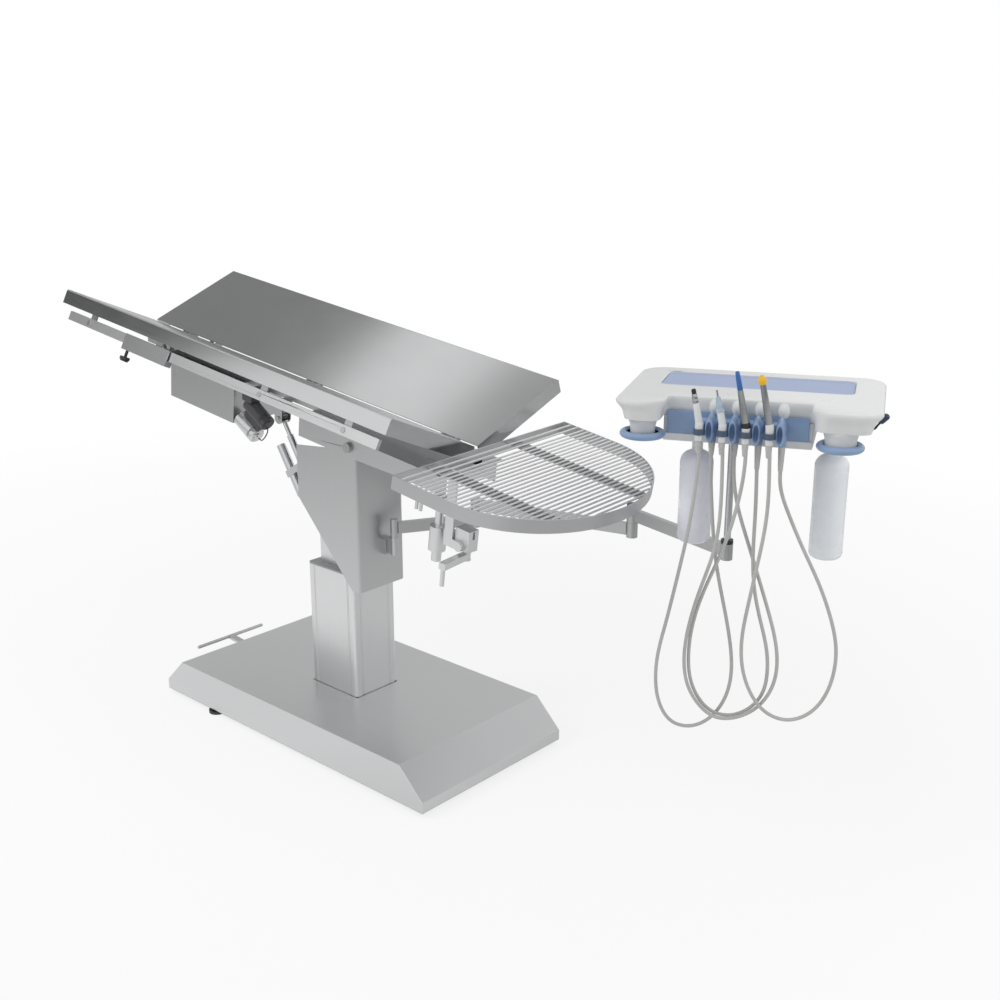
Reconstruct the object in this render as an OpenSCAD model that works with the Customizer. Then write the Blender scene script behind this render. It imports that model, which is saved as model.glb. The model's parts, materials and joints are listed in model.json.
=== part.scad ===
// Veterinary surgery and dental table: lifting column, tilting V top,
// grid extension and an instrument unit on a three-link arm.
// Millimetres, Z up. The origin is on the floor under the middle of the base.

/* [Base] */
// Length of the base cover at the floor
base_l = 1040; // [1000:5:1120]
// Width of the base cover
base_w = 510; // [490:5:580]
// Height of the base cover above its lower edge
base_h = 103; // [98:1:120]
// Height of the upright skirt round the cover
skirt_h = 28; // [22:1:34]
// Length of the flat top of the cover
base_top_l = 884; // [860:2:900]
// Height of the cover's lower edge above the floor
foot_h = 12; // [11:0.5:13]
// Thickness of the steel floor plate
plate_t = 10; // [8:1:12]
// Anchor hole spacing along the base
anchor_l = 880; // [820:5:900]
// Anchor hole spacing across the base
anchor_w = 380; // [340:5:390]
// Radius of each anchor hole
anchor_r = 7; // [5:0.5:8]

/* [Column] */
// Length of the outer column tube
col_l = 178; // [170:1:184]
// Width of the outer column tube
col_w = 144; // [138:1:148]
// Height of the top of the outer tube above the floor
col_top = 455; // [440:5:470]
// Length of the sliding inner tube
inner_l = 132; // [124:1:136]
// Width of the sliding inner tube
inner_w = 98; // [92:1:104]
// Height of the column's mounting plate in the photographed position
mount_z = 600; // [597:1:606]

/* [Head] */
// Length of the sheet housing round the column
head_l = 229; // [226:1:234]
// Width of the sheet housing
head_w = 160; // [156:1:166]
// Sheet thickness of the housing
head_t = 3; // [2.5:0.5:4]
// Height of the tilt pivot in the photographed position
pivot_z = 809; // [806:1:815]
// Radius of the tilt pivot bolts
pivot_r = 8; // [6:0.5:10]

/* [Tabletop] */
// Length of the tabletop
top_l = 1303; // [1280:1:1320]
// Width of each panel, from the fold at its rim to the middle
panel_w = 307; // [296:1:320]
// Angle of each panel above flat
panel_angle = 23.4; // [20:0.2:26]
// Depth of the turned-down rims
rim_h = 39; // [34:1:44]
// Sheet thickness of the panels
sheet_t = 2; // [1.5:0.25:3]
// Tilt of the tabletop in the photographed position
table_tilt = 7.1; // [5:0.1:9]
// Height of the accessory rail's section
rail_h = 25; // [20:1:30]
// Thickness of the accessory rail's section
rail_t = 10; // [8:1:12]

/* [Grid extension] */
// Width of the grid
grid_w = 633; // [600:1:660]
// Length of the straight sides of the grid
grid_straight = 160; // [120:1:200]
// Length of the rounded end of the grid
grid_round = 240; // [200:1:260]
// Height of the grid's edge band
grid_band_h = 32; // [26:1:38]
// Diameter of a grid rod
rod_d = 5; // [4:0.5:7]
// Number of rods across the grid
rod_count = 24; // [12:1:30]

/* [Arms] */
// Length of the lower arm between its pivots
arm1_l = 220; // [200:1:240]
// Heading of the lower arm from the long axis
arm1_angle = 61; // [55:1:70]
// Length of the middle arm between its pivots
arm2_l = 437; // [400:1:450]
// Heading of the middle arm
arm2_angle = 14.4; // [12:0.2:18]
// Length of the upper arm between its pivots
arm3_l = 327; // [300:1:340]
// Heading of the upper arm
arm3_angle = -13.6; // [-16:0.2:-10]
// Height of an arm tube's section
arm_h = 30; // [26:1:32]
// Width of an arm tube's section
arm_w = 14; // [12:1:20]

/* [Instrument unit] */
// Turn of the unit about its post
unit_yaw = 25.2; // [20:0.2:30]
// Width of the unit's tray
tray_w = 562; // [552:1:572]
// Depth of the tray from its back edge to the post
tray_back = 300; // [280:1:310]
// Reach of the tray's two front lobes beyond the post
tray_lobe = 105; // [100:1:112]
// Height of the tray's top above the floor
tray_top = 1015; // [1010:1:1020]
// Height of the unit's underside above the floor
unit_z = 916; // [912:1:920]
// Distance between neighbouring instrument holders
holder_pitch = 49; // [48:0.5:50]
// Radius of each bottle
bottle_r = 37; // [32:1:38]
// Diameter of an instrument hose
hose_d = 8; // [7:0.5:9]

/* [Hidden] */
$fn = 48;

// Clearances shared by all mating pieces
over = 1;          // overrun of a cut past a face
run_gap = 0.05;    // radial gap of a turning pin in its bore
slide_gap = 0.3;   // gap between faces that slide or pass
bend_share = 0.414; // a 45 degree fold moves its inner corner by this share
weld_t = 4;        // thickness of welded lugs and straps

// Base
cover_t = 2;
col_x = 9;
col_y = -6;
col_gap = 1;
plate_z = foot_h + plate_t;
feet = [[-310, -238], [-310, 238], [400, -215], [400, 215]];
pad_r = 24;
pad_h = 8;
stud_r = 6;
stud_top = 24;     // stud length above the plate
nut_r = 11;
nut_h = 9;

// Foot pedal
pedal_out = 43;    // bar beyond the end of the cover
pedal_in = 88;     // pivot inside the end of the cover
pedal_x = -base_l / 2 - pedal_out;
pedal_z = 80;
pedal_bar_l = 230;
pedal_bar_r = 5;
pedal_pivot_x = -base_l / 2 + pedal_in;
pedal_pivot_z = 68;
pedal_pin_r = 5;
pedal_hub_r = 10;
pedal_tail = 34;
stem_w = 20;
stem_t = 8;
pedal_slot_h = 46;
pedal_slot_gap = 4;
pedal_ear_gap = 12;
switch_l = 46;
switch_w = 60;
switch_h = 26;

// Column and lift actuator
col_t = 6;
col_corner = 8;
groove_w = 5;
groove_d = 1.2;
groove_in = 24;
inner_t = 5;
inner_corner = 5;
inner_z = 160;
bush_h = 50;
bush_flange = 4;
spindle_r = 23;
spindle_bore = 15;
spindle_top = 400;
push_r = 14;
push_z = 165;
mount_t = 8;
gear_l = 96;
gear_w = 68;
gear_h = 56;
lift_motor_r = 30;
lift_motor_h = 84;
lift_motor_x = 12;

// Head housing outline, as heights in the photographed position
head_x0 = -97;
head_x1 = head_x0 + head_l;
head_fold = 12;
head_low = 422;
head_side_z = 636;
head_foot_l = 29;
head_top_left = 778;
head_top_right = 798;
pivot_x = 116;
ear_r = 20;

// Lower eye of the tilt actuator, on the head
eye_x = -84;
eye_z = 679;
eye_y = -60;
eye_pin_r = 6;
eye_bore_r = 9;
eye_r = 14;
eye_t = 18;
ear_gap = 2;
ear_plate_r = 15;

// First arm hinge, on the head
hinge_x = 166;
hinge_y = 8;
hinge_mid = 560;
hinge_down = 48;
hinge_up = 49;
hinge_low = hinge_mid - hinge_down;
hinge_top = hinge_mid + hinge_up;
hinge_r = 10;
hinge_pin_r = 6;
stub_w = 30;
stub_h = 40;

// Tilt frame, in the tabletop's own axes: s along, t across, w up
side_in = 84;      // inside of each side plate from the middle
side_t = 4;
side_low = -26;
side_low_end = -20;
frame_s0 = -191;
frame_s1 = 338;
web_w = 30;
web_t = 4;
lug_r = 25;
flange_w = 18;
flange_s = 100;
bolt_head_r = 13;
bolt_head_h = 8;

// Spine and box
spine_w = 80;
spine_h = 28;
spine_t = 3;
spine_s0 = -940;
spine_s1 = 334;
spine_low = web_w + web_t;
spine_top = spine_low + spine_h;
box_s0 = -760;
box_s1 = -470;
box_w = 168;
box_low = -75;
box_t = 2;
cross_t = 6;
cross_w = 184;
cross_top = 56;

// Tilt actuator
act_s = -297.6;
act_w = -14;
act_pin_r = 6;
act_tube_r = 9;
act_tube_from = 52;
act_tube_to = 165;
act_rod_r = 6;
act_rod_to = 122;
side_off = 52;     // from the actuator's tube to its own motor
side_r = 12;
side_from = 58;
side_to = 205;
side_case = 18;

// Drive unit under the spine: a bright cylinder beside a dark one
drive_t = -66;
drive_slope = 25.7;
drive_bright = [-458, -57];
drive_bright_r = 23;
drive_bright_l = 76;
drive_dark = [-424, -5];
drive_dark_r = 21;
drive_dark_l = 94;
drive_cap = 8;

// Tabletop: the fold line of the V and the hinge lines under it
v_w = 88.7;
top_s1 = 344;
top_s0 = top_s1 - top_l;
mid_gap = 5;
fold_r = 5;
pin_t = 9;
pin_w = 80;
pin_r = 5;
block_l = 40;
block_w = 44;
block_stations = [-800, -250, 250];
lug_l = 6;
lug_gap = 0.5;
knuckle_r = 9;

// Quadrants that lock the panels
quad_s = -778;
quad_t = 4;
quad_r = 75;
quad_out = 90;
quad_in = 58;
quad_slot_r = 4.6;
quad_start = -76;
quad_end = -8;
quad_slot_from = -70;
quad_slot_to = -26;
quad_bolt_angle = 30;
quad_bolt_r = 4;
quad_nut_r = 10;
quad_nut_h = 12;

// Accessory rail, in the near panel's own axes
rail_y = 290;
rail_z = -77;
rail_s0 = -920;
rail_s1 = 325;
standoff_stations = [-822, -518, -87, 212];
strap_w = 24;
rail_bolt_r = 4;
rail_bolt_head = 7;
rail_bolt_h = 2;

// Rail clamp
clamp_s0 = -642;
clamp_l = 193;
clamp_t = 4;
clamp_low = -92;
clamp_up = -50;
clamp_lip = -72;
clamp_front_gap = 2.6;
screw_s = -628;
screw_r = 4;
screw_low = -118;
screw_knob_r = 13;
screw_knob_h = 8;
screw_wing = 24;

// Grid extension
grid_x = 495.5;
grid_y = -5;
grid_z = 861;
grid_slope = 10.3;
grid_yaw = 3.7;
band_t = 3;
rod_first = 62;
rod_last_gap = 16;
edge_rods = [22, 42];
bar_places = [-190, 95];
bar_w = 34;
bar_t = 4;
long_rod_off = 21;
sleeve_s = 325;
sleeve_t = -86;
sleeve_r = 21;
sleeve_low = -158;
sleeve_up = -96;
sleeve_pin_r = 10;
pin_block_l = 36;
pin_block_w = 30;
pin_block_h = 16;
nose_r = 12;
nose_h = 28;
hang_s0 = 361;
hang_s1 = 387;
hang_t = 6;
hang_y = -104;     // outer face of the hanger plate
hang_low = -127;
hang_up = 66;
grid_bolt_s = 409;
grid_bolt_w = -116;
grid_bolt_r = 6;
foot_r = 12;
block_s0 = 390;
block_s1 = 434;
block_up = -74;
block_depth = 32;
slot_w = 7;
slot_h = 20;
slot_up = -86;
sleeve_arm_h = 32;
stud_places = [72, 84];
grid_stud_r = 4;
grid_stud_h = 20;
lever_s = 418;
lever_t = -82;
lever_l = 88;
lever_angle = 6;
lever_width = 18;
lever_h = 16;
lever_gap = 5;      // free height above the clamp lever
lever_pin_r = 5;
grip_r = 5.5;
grip_l = 42;

// Arm levels, each from the one below
arm1_up = 25;
arm2_up = 40;
arm3_up = 39;
arm1_z = hinge_mid + arm1_up;
arm2_z = arm1_z + arm2_up;
arm3_z = arm2_z + arm3_up;
knuckle2_r = 14;
knuckle_h = 38;
arm_pin_r = 7;
arm_wall = 2;
cap_h = 9;
post_r = 8;
hinge2 = [hinge_x, hinge_y] + arm1_l * [cos(arm1_angle), sin(arm1_angle)];
elbow = hinge2 + arm2_l * [cos(arm2_angle), sin(arm2_angle)];
post = elbow + arm3_l * [cos(arm3_angle), sin(arm3_angle)];
knuckle2_up = 19.3;
knuckle2_z = arm1_z + knuckle2_up;
knuckle3_z = knuckle2_z + arm3_up;

// Instrument unit, about its post: x along the front, y to the back
unit_mid = 32;     // middle of the tray from the post
slab_z = 972;
shell_t = 4;
tray_corner = 60;
lobe_wl = 109;     // width of the left lobe
lobe_wr = 145;     // width of the right lobe
tray_left = unit_mid - tray_w / 2;
tray_right = unit_mid + tray_w / 2;
notch_left = tray_left + lobe_wl;
notch_right = tray_right - lobe_wr;
notch_r = 10;
notch_share = 0.2; // how far the notch draws back under its rim
lobe_r = 46;
lobe_share = 0.4;  // how far the lobes draw in at their front and inner sides
recess_y = -20;
mat_w = 430;
mat_d = 150;
mat_back = 262;
mat_corner = 18;
mat_pocket = 8;
mat_t = 2;
housing_left = 10; // lower housing beyond the notch on its left
housing_right = 4;
housing_x = notch_left - housing_left;
housing_w = notch_right + housing_right - housing_x;
housing_back = 250;
housing_front = 20;
lip_t = 8;
panel_in = 9;
panel_z = 933;
panel_h = 51;
panel_t = 6;
handle_in = [60, 83];
handle_places = [[tray_left + handle_in.x, 27], [tray_right - handle_in.y, 33]];
handle_y = -58;
handle_r = 50;
handle_bar_r = 8;
handle_z = 936;
stub_z = 930;
lobe_flare = 2;
lobe_low_z = 952;
bottle_top = 893;
bottle_shoulder = 26;
bottle_foot = 12;
bottle_neck_r = 12;
bottle_in = 100;   // right bottle from the tray's right end
bottle_places = [[-75, -5, unit_z, 682], [tray_right - bottle_in, 45, slab_z, 655]];
lever_y = -4;
seat_in = 32;      // seat of the side lever from the tray's right end
seat_x = tray_right - seat_in;
seat_z = 966;
seat_r = 8;
side_rod_r = 2.5;
side_rod_l = 4;
side_rise = 23.5;  // from the lever's pivot up to its knob
side_out = 17;
side_knob_r = 7.5;
side_knob_l = 12;

// Holders and instruments: the relief leg lies behind the instrument leg
holder_x = -60;
relief_off = 25;
jaw_off = 21;
relief_y = -80;
grip_y = -104;
relief_lows = [905, 905, 880, 880];
relief_r = 8;
relief_end_r = 5.5;
cradle_z = 946;
cradle_h = 22;
cradle_r = 15;
cradle_bore = 9.6;
holder_block_w = 40;
holder_block_z = 940;
holder_block_h = 34;
jaw_w = 20;
jaw_h = 62;
jaw_y = -112;
jaw_back = -62;
inst_low = 940;
inst_r = 9.2;
inst_joint = 976;
inst_lean = 12;
hose_sides = 8;

// Turned parts of each instrument: start, length, lower and upper radius
inst_1_parts = [[0, 46, 8.4, 6], [45, 6, 5, 5], [50, 26, 6.5, 5]];
inst_2_parts = [[0, 30, 8.4, 7.5], [29, 6, 9, 9], [34, 30, 7, 5.5], [60, 16, 4, 3]];
inst_3_parts = [[0, 8, 10, 10], [7, 72, 9, 6], [78, 42, 6, 4.5]];
inst_4_parts = [[0, 94, 9, 6], [93, 10, 7, 9], [102, 12, 9, 4]];

// Hose routes about the unit's post: x, y and height, from relief to instrument
hose_1_route = [
  [-35, -80, 905], [-34, -80, 870], [-29, -80, 800], [-13, -80, 665],
  [10, -80, 560], [27, -81, 480], [34, -82, 415], [28, -80, 358],
  [10, -78, 312], [-19, -82, 278], [-56, -88, 263], [-92, -94, 272],
  [-120, -97, 310], [-132, -100, 368], [-130, -102, 432], [-115, -104, 512],
  [-93, -104, 625], [-74, -104, 735], [-61, -104, 850], [-58, -104, 900],
  [-58, -104, 940]];
hose_2_route = [
  [14, -80, 905], [15, -80, 870], [26, -80, 800], [48, -80, 730],
  [76, -80, 650], [105, -81, 565], [127, -83, 488], [133, -85, 430],
  [122, -88, 374], [93, -94, 331], [50, -99, 305], [6, -103, 302],
  [-33, -104, 329], [-60, -107, 378], [-69, -108, 437], [-63, -108, 510],
  [-41, -108, 605], [-14, -107, 705], [-6, -105, 830], [-9, -104, 940]];
hose_3_route = [
  [63, -80, 880], [64, -80, 850], [66, -84, 770], [67, -90, 690],
  [75, -91, 610], [93, -90, 535], [109, -88, 470], [113, -87, 415],
  [103, -83, 360], [77, -82, 323], [39, -85, 303], [0, -89, 307],
  [-34, -93, 338], [-55, -96, 387], [-61, -97, 442], [-56, -97, 510],
  [-35, -98, 595], [-1, -101, 690], [28, -104, 800], [40, -104, 900],
  [40, -104, 940]];
hose_4_route = [
  [112, -80, 880], [114, -80, 850], [134, -80, 790], [169, -80, 715],
  [207, -80, 640], [239, -80, 560], [255, -82, 495], [255, -84, 436],
  [240, -87, 378], [208, -91, 333], [163, -96, 314], [120, -100, 326],
  [84, -103, 366], [61, -104, 426], [55, -104, 490], [63, -104, 570],
  [78, -104, 670], [92, -104, 790], [91, -104, 890], [89, -104, 940]];

// Unit vector, and one rounded corner of an outline as a run of points
function along(v) = v / norm(v);
function corner(a, b, c, r, n) =
  let (u = along(a - b), v = along(c - b), half = acos(u * v) / 2)
  let (mid = b + along(u + v) * r / sin(half))
  let (p = b + u * r / tan(half) - mid, q = b + v * r / tan(half) - mid)
  let (start = atan2(p.y, p.x), turn = atan2(q.y, q.x) - start)
  let (swing = (turn + 540) % 360 - 180)
  [for (i = [0 : n]) mid + r * [cos(start + swing * i / n), sin(start + swing * i / n)]];

// Outline through corner points, each with its own radius
function rounded(points, radii, n = 6) =
  let (m = len(points))
  [for (i = [0 : m - 1])
    each radii[i] > 0
      ? corner(points[(i + m - 1) % m], points[i], points[(i + 1) % m], radii[i], n)
      : [points[i]]];

// Closed solid through rings of equally many points, listed from the bottom up.
// A lid that bends inward is given as several faces that don't.
module loft(rings, lid = []) {
  n = len(rings[0]);
  m = len(rings);
  low = len(lid) > 0 ? lid : [[for (i = [0 : n - 1]) i]];
  walls = [for (j = [0 : m - 2], i = [0 : n - 1])
    each [[j * n + i, (j + 1) * n + i, (j + 1) * n + (i + 1) % n],
          [j * n + i, (j + 1) * n + (i + 1) % n, j * n + (i + 1) % n]]];
  high = [for (f = low) [for (i = [len(f) - 1 : -1 : 0]) (m - 1) * n + f[i]]];
  polyhedron(points = [for (ring = rings) each ring], faces = concat(low, high, walls));
}

// Tube of one diameter along a route, with a ring at each of its points
function side_of(d) = along(cross(d, [0, 1, 0]));
function ring_at(route, i, r, n) =
  let (last = len(route) - 1)
  let (d = along(route[min(i + 1, last)] - route[max(i - 1, 0)]))
  let (flat = i == 0 || i == last ? [0, 0, sign(d.z)] : d)
  let (u = side_of(flat), v = cross(flat, u))
  [for (k = [0 : n - 1]) route[i] + r * (cos(360 * k / n) * u + sin(360 * k / n) * v)];
module hose(route) {
  color("gainsboro") at_unit()
    loft([for (i = [len(route) - 1 : -1 : 0]) ring_at(route, i, hose_d / 2, hose_sides)]);
}

// Rectangle with true round corners
module round_rect(l, w, r) {
  square([l - 2 * r, w], center = true);
  square([l, w - 2 * r], center = true);
  for (x = [-1, 1], y = [-1, 1])
    translate([x * (l / 2 - r), y * (w / 2 - r)]) circle(r);
}

// A profile drawn as (length, height) and pulled out across the table
module across(w) {
  rotate([90, 0, 0]) linear_extrude(height = w, center = true) children();
}

// A round bar along Y between two places
module rod_y(r, y0, y1) {
  translate([0, y1, 0]) rotate([90, 0, 0]) cylinder(r = r, h = y1 - y0);
}

// Frames of the tilting top, the near panel, the grid and the unit
module at_tilt() {
  translate([pivot_x, col_y, pivot_z]) rotate([0, table_tilt, 0]) children();
}
module at_far_panel() {
  at_tilt() translate([0, 0, v_w]) rotate([panel_angle, 0, 0]) children();
}
module at_near_panel() {
  at_tilt() translate([0, 0, v_w]) rotate([-panel_angle, 0, 0]) mirror([0, 1, 0]) children();
}
module at_grid() {
  translate([grid_x, grid_y, grid_z]) rotate([0, 0, grid_yaw]) rotate([0, grid_slope, 0])
    children();
}
module at_unit() {
  translate([post.x, post.y, 0]) rotate([0, 0, unit_yaw]) children();
}

// The tilt actuator's line, from its clevis on the spine to its eye on the head
eye_dx = eye_x - pivot_x;
eye_dz = eye_z - pivot_z;
eye_s = eye_dx * cos(table_tilt) - eye_dz * sin(table_tilt);
eye_w = eye_dx * sin(table_tilt) + eye_dz * cos(table_tilt);
act_len = norm([eye_s - act_s, eye_w - act_w]);
act_lean = atan2(eye_s - act_s, act_w - eye_w);
module at_actuator() {
  at_tilt() translate([act_s, eye_y - col_y, act_w]) rotate([0, 180 - act_lean, 0]) children();
}

// Base cover: folded sheet with upright skirts and two sloping ends
function cover_points(inset) =
  let (half = base_l / 2 - inset, top = base_top_l / 2 - inset * bend_share)
  let (low = inset > 0 ? foot_h - over : foot_h)
  let (knee = foot_h + skirt_h - inset * bend_share, high = foot_h + base_h - inset)
  [[-half, low], [half, low], [half, knee], [top, high], [-top, high], [-half, knee]];
module base_cover() {
  slot_l = (base_l - base_top_l) / 2 + over;
  color("silver") difference() {
    across(base_w) polygon(cover_points(0));
    across(base_w - 2 * cover_t) polygon(cover_points(cover_t));
    translate([col_x, col_y, foot_h + base_h])
      cube([col_l + 2 * col_gap, col_w + 2 * col_gap, 2 * cover_t + 2 * over], center = true);
    translate([-base_l / 2 - over, -stem_w / 2 - pedal_slot_gap, pedal_z - pedal_slot_h / 2])
      cube([slot_l, stem_w + 2 * pedal_slot_gap, pedal_slot_h]);
  }
}

// Steel floor plate with four anchor holes and four foot holes
module base_frame_plate() {
  color("dimgray") difference() {
    translate([-base_l / 2 + cover_t, -base_w / 2 + cover_t, foot_h])
      cube([base_l - 2 * cover_t, base_w - 2 * cover_t, plate_t]);
    for (x = [-1, 1], y = [-1, 1])
      translate([x * anchor_l / 2, y * anchor_w / 2, foot_h - over])
        cylinder(r = anchor_r, h = plate_t + 2 * over);
    for (f = feet) translate([f.x, f.y, foot_h - over])
      cylinder(r = stud_r + run_gap, h = plate_t + 2 * over);
  }
}

// Levelling feet: pad, threaded stud and lock nut
module levelling_feet() {
  color("dimgray") for (f = feet) translate([f.x, f.y, 0]) {
    cylinder(r = pad_r, h = pad_h);
    cylinder(r = stud_r, h = plate_z + stud_top);
    translate([0, 0, plate_z]) cylinder(r = nut_r, h = nut_h, $fn = 6);
  }
}

// Outer column tube with two shallow grooves on every face
module column_outer_tube() {
  color("gainsboro") translate([col_x, col_y, plate_z]) linear_extrude(height = col_top - plate_z)
    difference() {
      round_rect(col_l, col_w, col_corner);
      square([col_l - 2 * col_t, col_w - 2 * col_t], center = true);
      for (x = [-1, 1], y = [-1, 1]) {
        translate([x * (col_l / 2 - groove_in), y * col_w / 2])
          square([groove_w, 2 * groove_d], center = true);
        translate([x * col_l / 2, y * (col_w / 2 - groove_in)])
          square([2 * groove_d, groove_w], center = true);
      }
    }
}

// Plastic guide bush in the mouth of the outer tube
module column_guide_bush() {
  color("darkgray") translate([col_x, col_y, col_top - bush_h]) difference() {
    union() {
      translate([0, 0, bush_h / 2])
        cube([col_l - 2 * col_t, col_w - 2 * col_t, bush_h], center = true);
      translate([0, 0, bush_h]) linear_extrude(height = bush_flange)
        round_rect(col_l, col_w, col_corner);
    }
    translate([0, 0, -over])
      linear_extrude(height = bush_h + bush_flange + 2 * over)
        round_rect(inner_l + 2 * slide_gap, inner_w + 2 * slide_gap, inner_corner);
  }
}

// Fixed tube of the lift spindle
module lift_spindle_tube() {
  color("silver") translate([col_x, col_y, plate_z]) difference() {
    cylinder(r = spindle_r, h = spindle_top - plate_z);
    translate([0, 0, plate_t]) cylinder(r = spindle_bore, h = spindle_top);
  }
}

// Pedal bracket with its pivot pin, and the switch block behind it
module pedal_bracket() {
  ear_h = pedal_pivot_z - plate_z;
  color("dimgray") {
    for (y = [-1, 1]) translate([pedal_pivot_x, y * (pedal_ear_gap + weld_t / 2), plate_z])
      difference() {
        union() {
          translate([-pedal_hub_r, -weld_t / 2, 0]) cube([2 * pedal_hub_r, weld_t, ear_h]);
          translate([0, 0, ear_h]) rod_y(pedal_hub_r, -weld_t / 2, weld_t / 2);
        }
        translate([0, 0, ear_h]) rod_y(pedal_pin_r, -weld_t, weld_t);
      }
    translate([pedal_pivot_x, 0, pedal_pivot_z])
      rod_y(pedal_pin_r, -pedal_ear_gap - 2 * weld_t, pedal_ear_gap + 2 * weld_t);
    translate([pedal_pivot_x + pedal_hub_r + weld_t, -switch_w / 2, plate_z])
      cube([switch_l, switch_w, switch_h]);
  }
}

// Foot pedal: cross bar, stem, hub and a tail over the switch block
module pedal_bar() {
  rise = pedal_z - pedal_pivot_z;
  reach = pedal_pivot_x - pedal_x;
  color("gray") difference() {
    union() {
      translate([pedal_x, 0, pedal_z]) {
        rod_y(pedal_bar_r, -pedal_bar_l / 2, pedal_bar_l / 2);
        for (y = [-1, 1]) translate([0, y * pedal_bar_l / 2, 0]) sphere(pedal_bar_r);
      }
      translate([pedal_pivot_x, 0, pedal_pivot_z]) {
        rod_y(pedal_hub_r, -pedal_ear_gap + slide_gap, pedal_ear_gap - slide_gap);
        across(stem_w) polygon([[-reach, rise - stem_t / 2], [-reach, rise + stem_t / 2],
          [0, stem_t / 2], [pedal_tail, stem_t / 2], [pedal_tail, -stem_t / 2],
          [0, -stem_t / 2]]);
      }
    }
    translate([pedal_pivot_x, 0, pedal_pivot_z])
      rod_y(pedal_pin_r + run_gap, -stem_w, stem_w);
  }
}

// Inner column tube, which lifts the head
module column_inner_tube() {
  color("silver") translate([col_x, col_y, inner_z]) linear_extrude(height = mount_z - inner_z)
    difference() {
      round_rect(inner_l, inner_w, inner_corner);
      square([inner_l - 2 * inner_t, inner_w - 2 * inner_t], center = true);
    }
}

// Head housing: sheet folded round three sides, with a pivot ear on each cheek
module head_section(inset) {
  l = head_l - head_fold;
  translate([head_x0 - (inset > 0 ? over : 0), -head_w / 2 + inset])
    square([l + (inset > 0 ? over : 0), head_w - 2 * inset]);
  translate([head_x0, -head_w / 2 + head_fold])
    square([head_l - inset, head_w - 2 * head_fold]);
  for (y = [-1, 1]) translate([head_x1 - head_fold, y * (head_w / 2 - head_fold)])
    circle(head_fold - inset);
}
module head_housing() {
  cheek = [[head_x0, head_top_left], [head_x0, head_side_z],
    [head_x1 - head_foot_l, head_low], [head_x1 + over, head_low],
    [head_x1 + over, head_top_right], [pivot_x - ear_r, head_top_right]];
  color("silver") translate([0, col_y, 0]) difference() {
    union() {
      intersection() {
        translate([0, 0, head_low - over]) linear_extrude(height = pivot_z - head_low)
          difference() {
            head_section(0);
            head_section(head_t);
          }
        across(head_w + 2 * over) polygon(cheek);
      }
      for (y = [-1, 1]) translate([pivot_x, y * (head_w - head_t) / 2, pivot_z]) {
        rod_y(ear_r, -head_t / 2, head_t / 2);
        translate([-ear_r, -head_t / 2, -ear_r])
          cube([head_x1 - head_fold - pivot_x + ear_r, head_t, ear_r]);
      }
    }
    translate([pivot_x, 0, pivot_z]) rod_y(pivot_r + run_gap, -head_w, head_w);
  }
}

// Mounting plate inside the head, with the clevis of the tilt actuator
module head_mount_plate() {
  plate_x = col_x - inner_l / 2 - weld_t;
  root = plate_x + 2 * ear_r;
  color("gray") {
    difference() {
      translate([plate_x, col_y - head_w / 2 + head_t, mount_z])
        cube([head_x1 - head_fold - plate_x, head_w - 2 * head_t, mount_t]);
      translate([col_x, col_y, mount_z - over]) cylinder(r = push_r, h = mount_t + 2 * over);
    }
    for (y = [-1, 1])
      translate([eye_x, eye_y + y * (eye_t / 2 + ear_gap + weld_t / 2), eye_z]) difference() {
        union() {
          rod_y(ear_plate_r, -weld_t / 2, weld_t / 2);
          across(weld_t) polygon([[0, ear_plate_r], [ear_plate_r, 0],
            [root - eye_x, mount_z + mount_t - eye_z], [plate_x - eye_x, mount_z - eye_z],
            [-ear_plate_r, 0]]);
        }
        rod_y(eye_pin_r, -weld_t, weld_t);
      }
    translate([eye_x, eye_y, eye_z])
      rod_y(eye_pin_r, -eye_t / 2 - ear_gap - 2 * weld_t, eye_t / 2 + ear_gap + weld_t);
  }
}

// Lift actuator: gear box, motor and push rod
module lift_actuator() {
  color("dimgray") translate([col_x, col_y, mount_z + mount_t]) {
    translate([0, 0, gear_h / 2]) cube([gear_l, gear_w, gear_h], center = true);
    translate([lift_motor_x, 0, gear_h]) cylinder(r = lift_motor_r, h = lift_motor_h);
  }
  color("silver") translate([col_x, col_y, push_z])
    cylinder(r = push_r - run_gap, h = mount_z + mount_t - push_z);
}

// First arm hinge: a stub on the head with a knuckle and its pin
module arm_bracket() {
  color("silver") {
    translate([head_x1, hinge_y - stub_w / 2, hinge_low])
      cube([(hinge_x - head_x1) / 2, stub_w, stub_h]);
    translate([head_x1, hinge_y - weld_t, hinge_low])
      cube([hinge_x - head_x1, 2 * weld_t, stub_h]);
    translate([hinge_x, hinge_y, hinge_low]) {
      cylinder(r = hinge_r, h = hinge_mid - hinge_low);
      cylinder(r = hinge_pin_r, h = hinge_top - hinge_low);
    }
  }
}

// Tilt frame: two side plates with pivot lugs, joined by a web
module tilt_frame() {
  outer = side_in + side_t;
  side = [[frame_s0, side_low], [0, side_low], [frame_s1 / 2, side_low_end],
    [frame_s1, side_low_end], [frame_s1, web_w], [frame_s0, web_w]];
  color("silver") at_tilt() difference() {
    union() {
      for (y = [-1, 1]) translate([0, y * (outer - side_t / 2), 0]) {
        across(side_t) polygon(side);
        rod_y(lug_r, -side_t / 2, side_t / 2);
      }
      translate([frame_s0, -outer, web_w]) cube([frame_s1 - frame_s0, 2 * outer, web_t]);
      for (y = [-1, 1])
        translate([flange_s, y > 0 ? outer : -outer - flange_w, web_w])
          cube([frame_s1 - flange_s, flange_w, web_t]);
    }
    rod_y(pivot_r, -outer - over, outer + over);
  }
}

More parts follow.
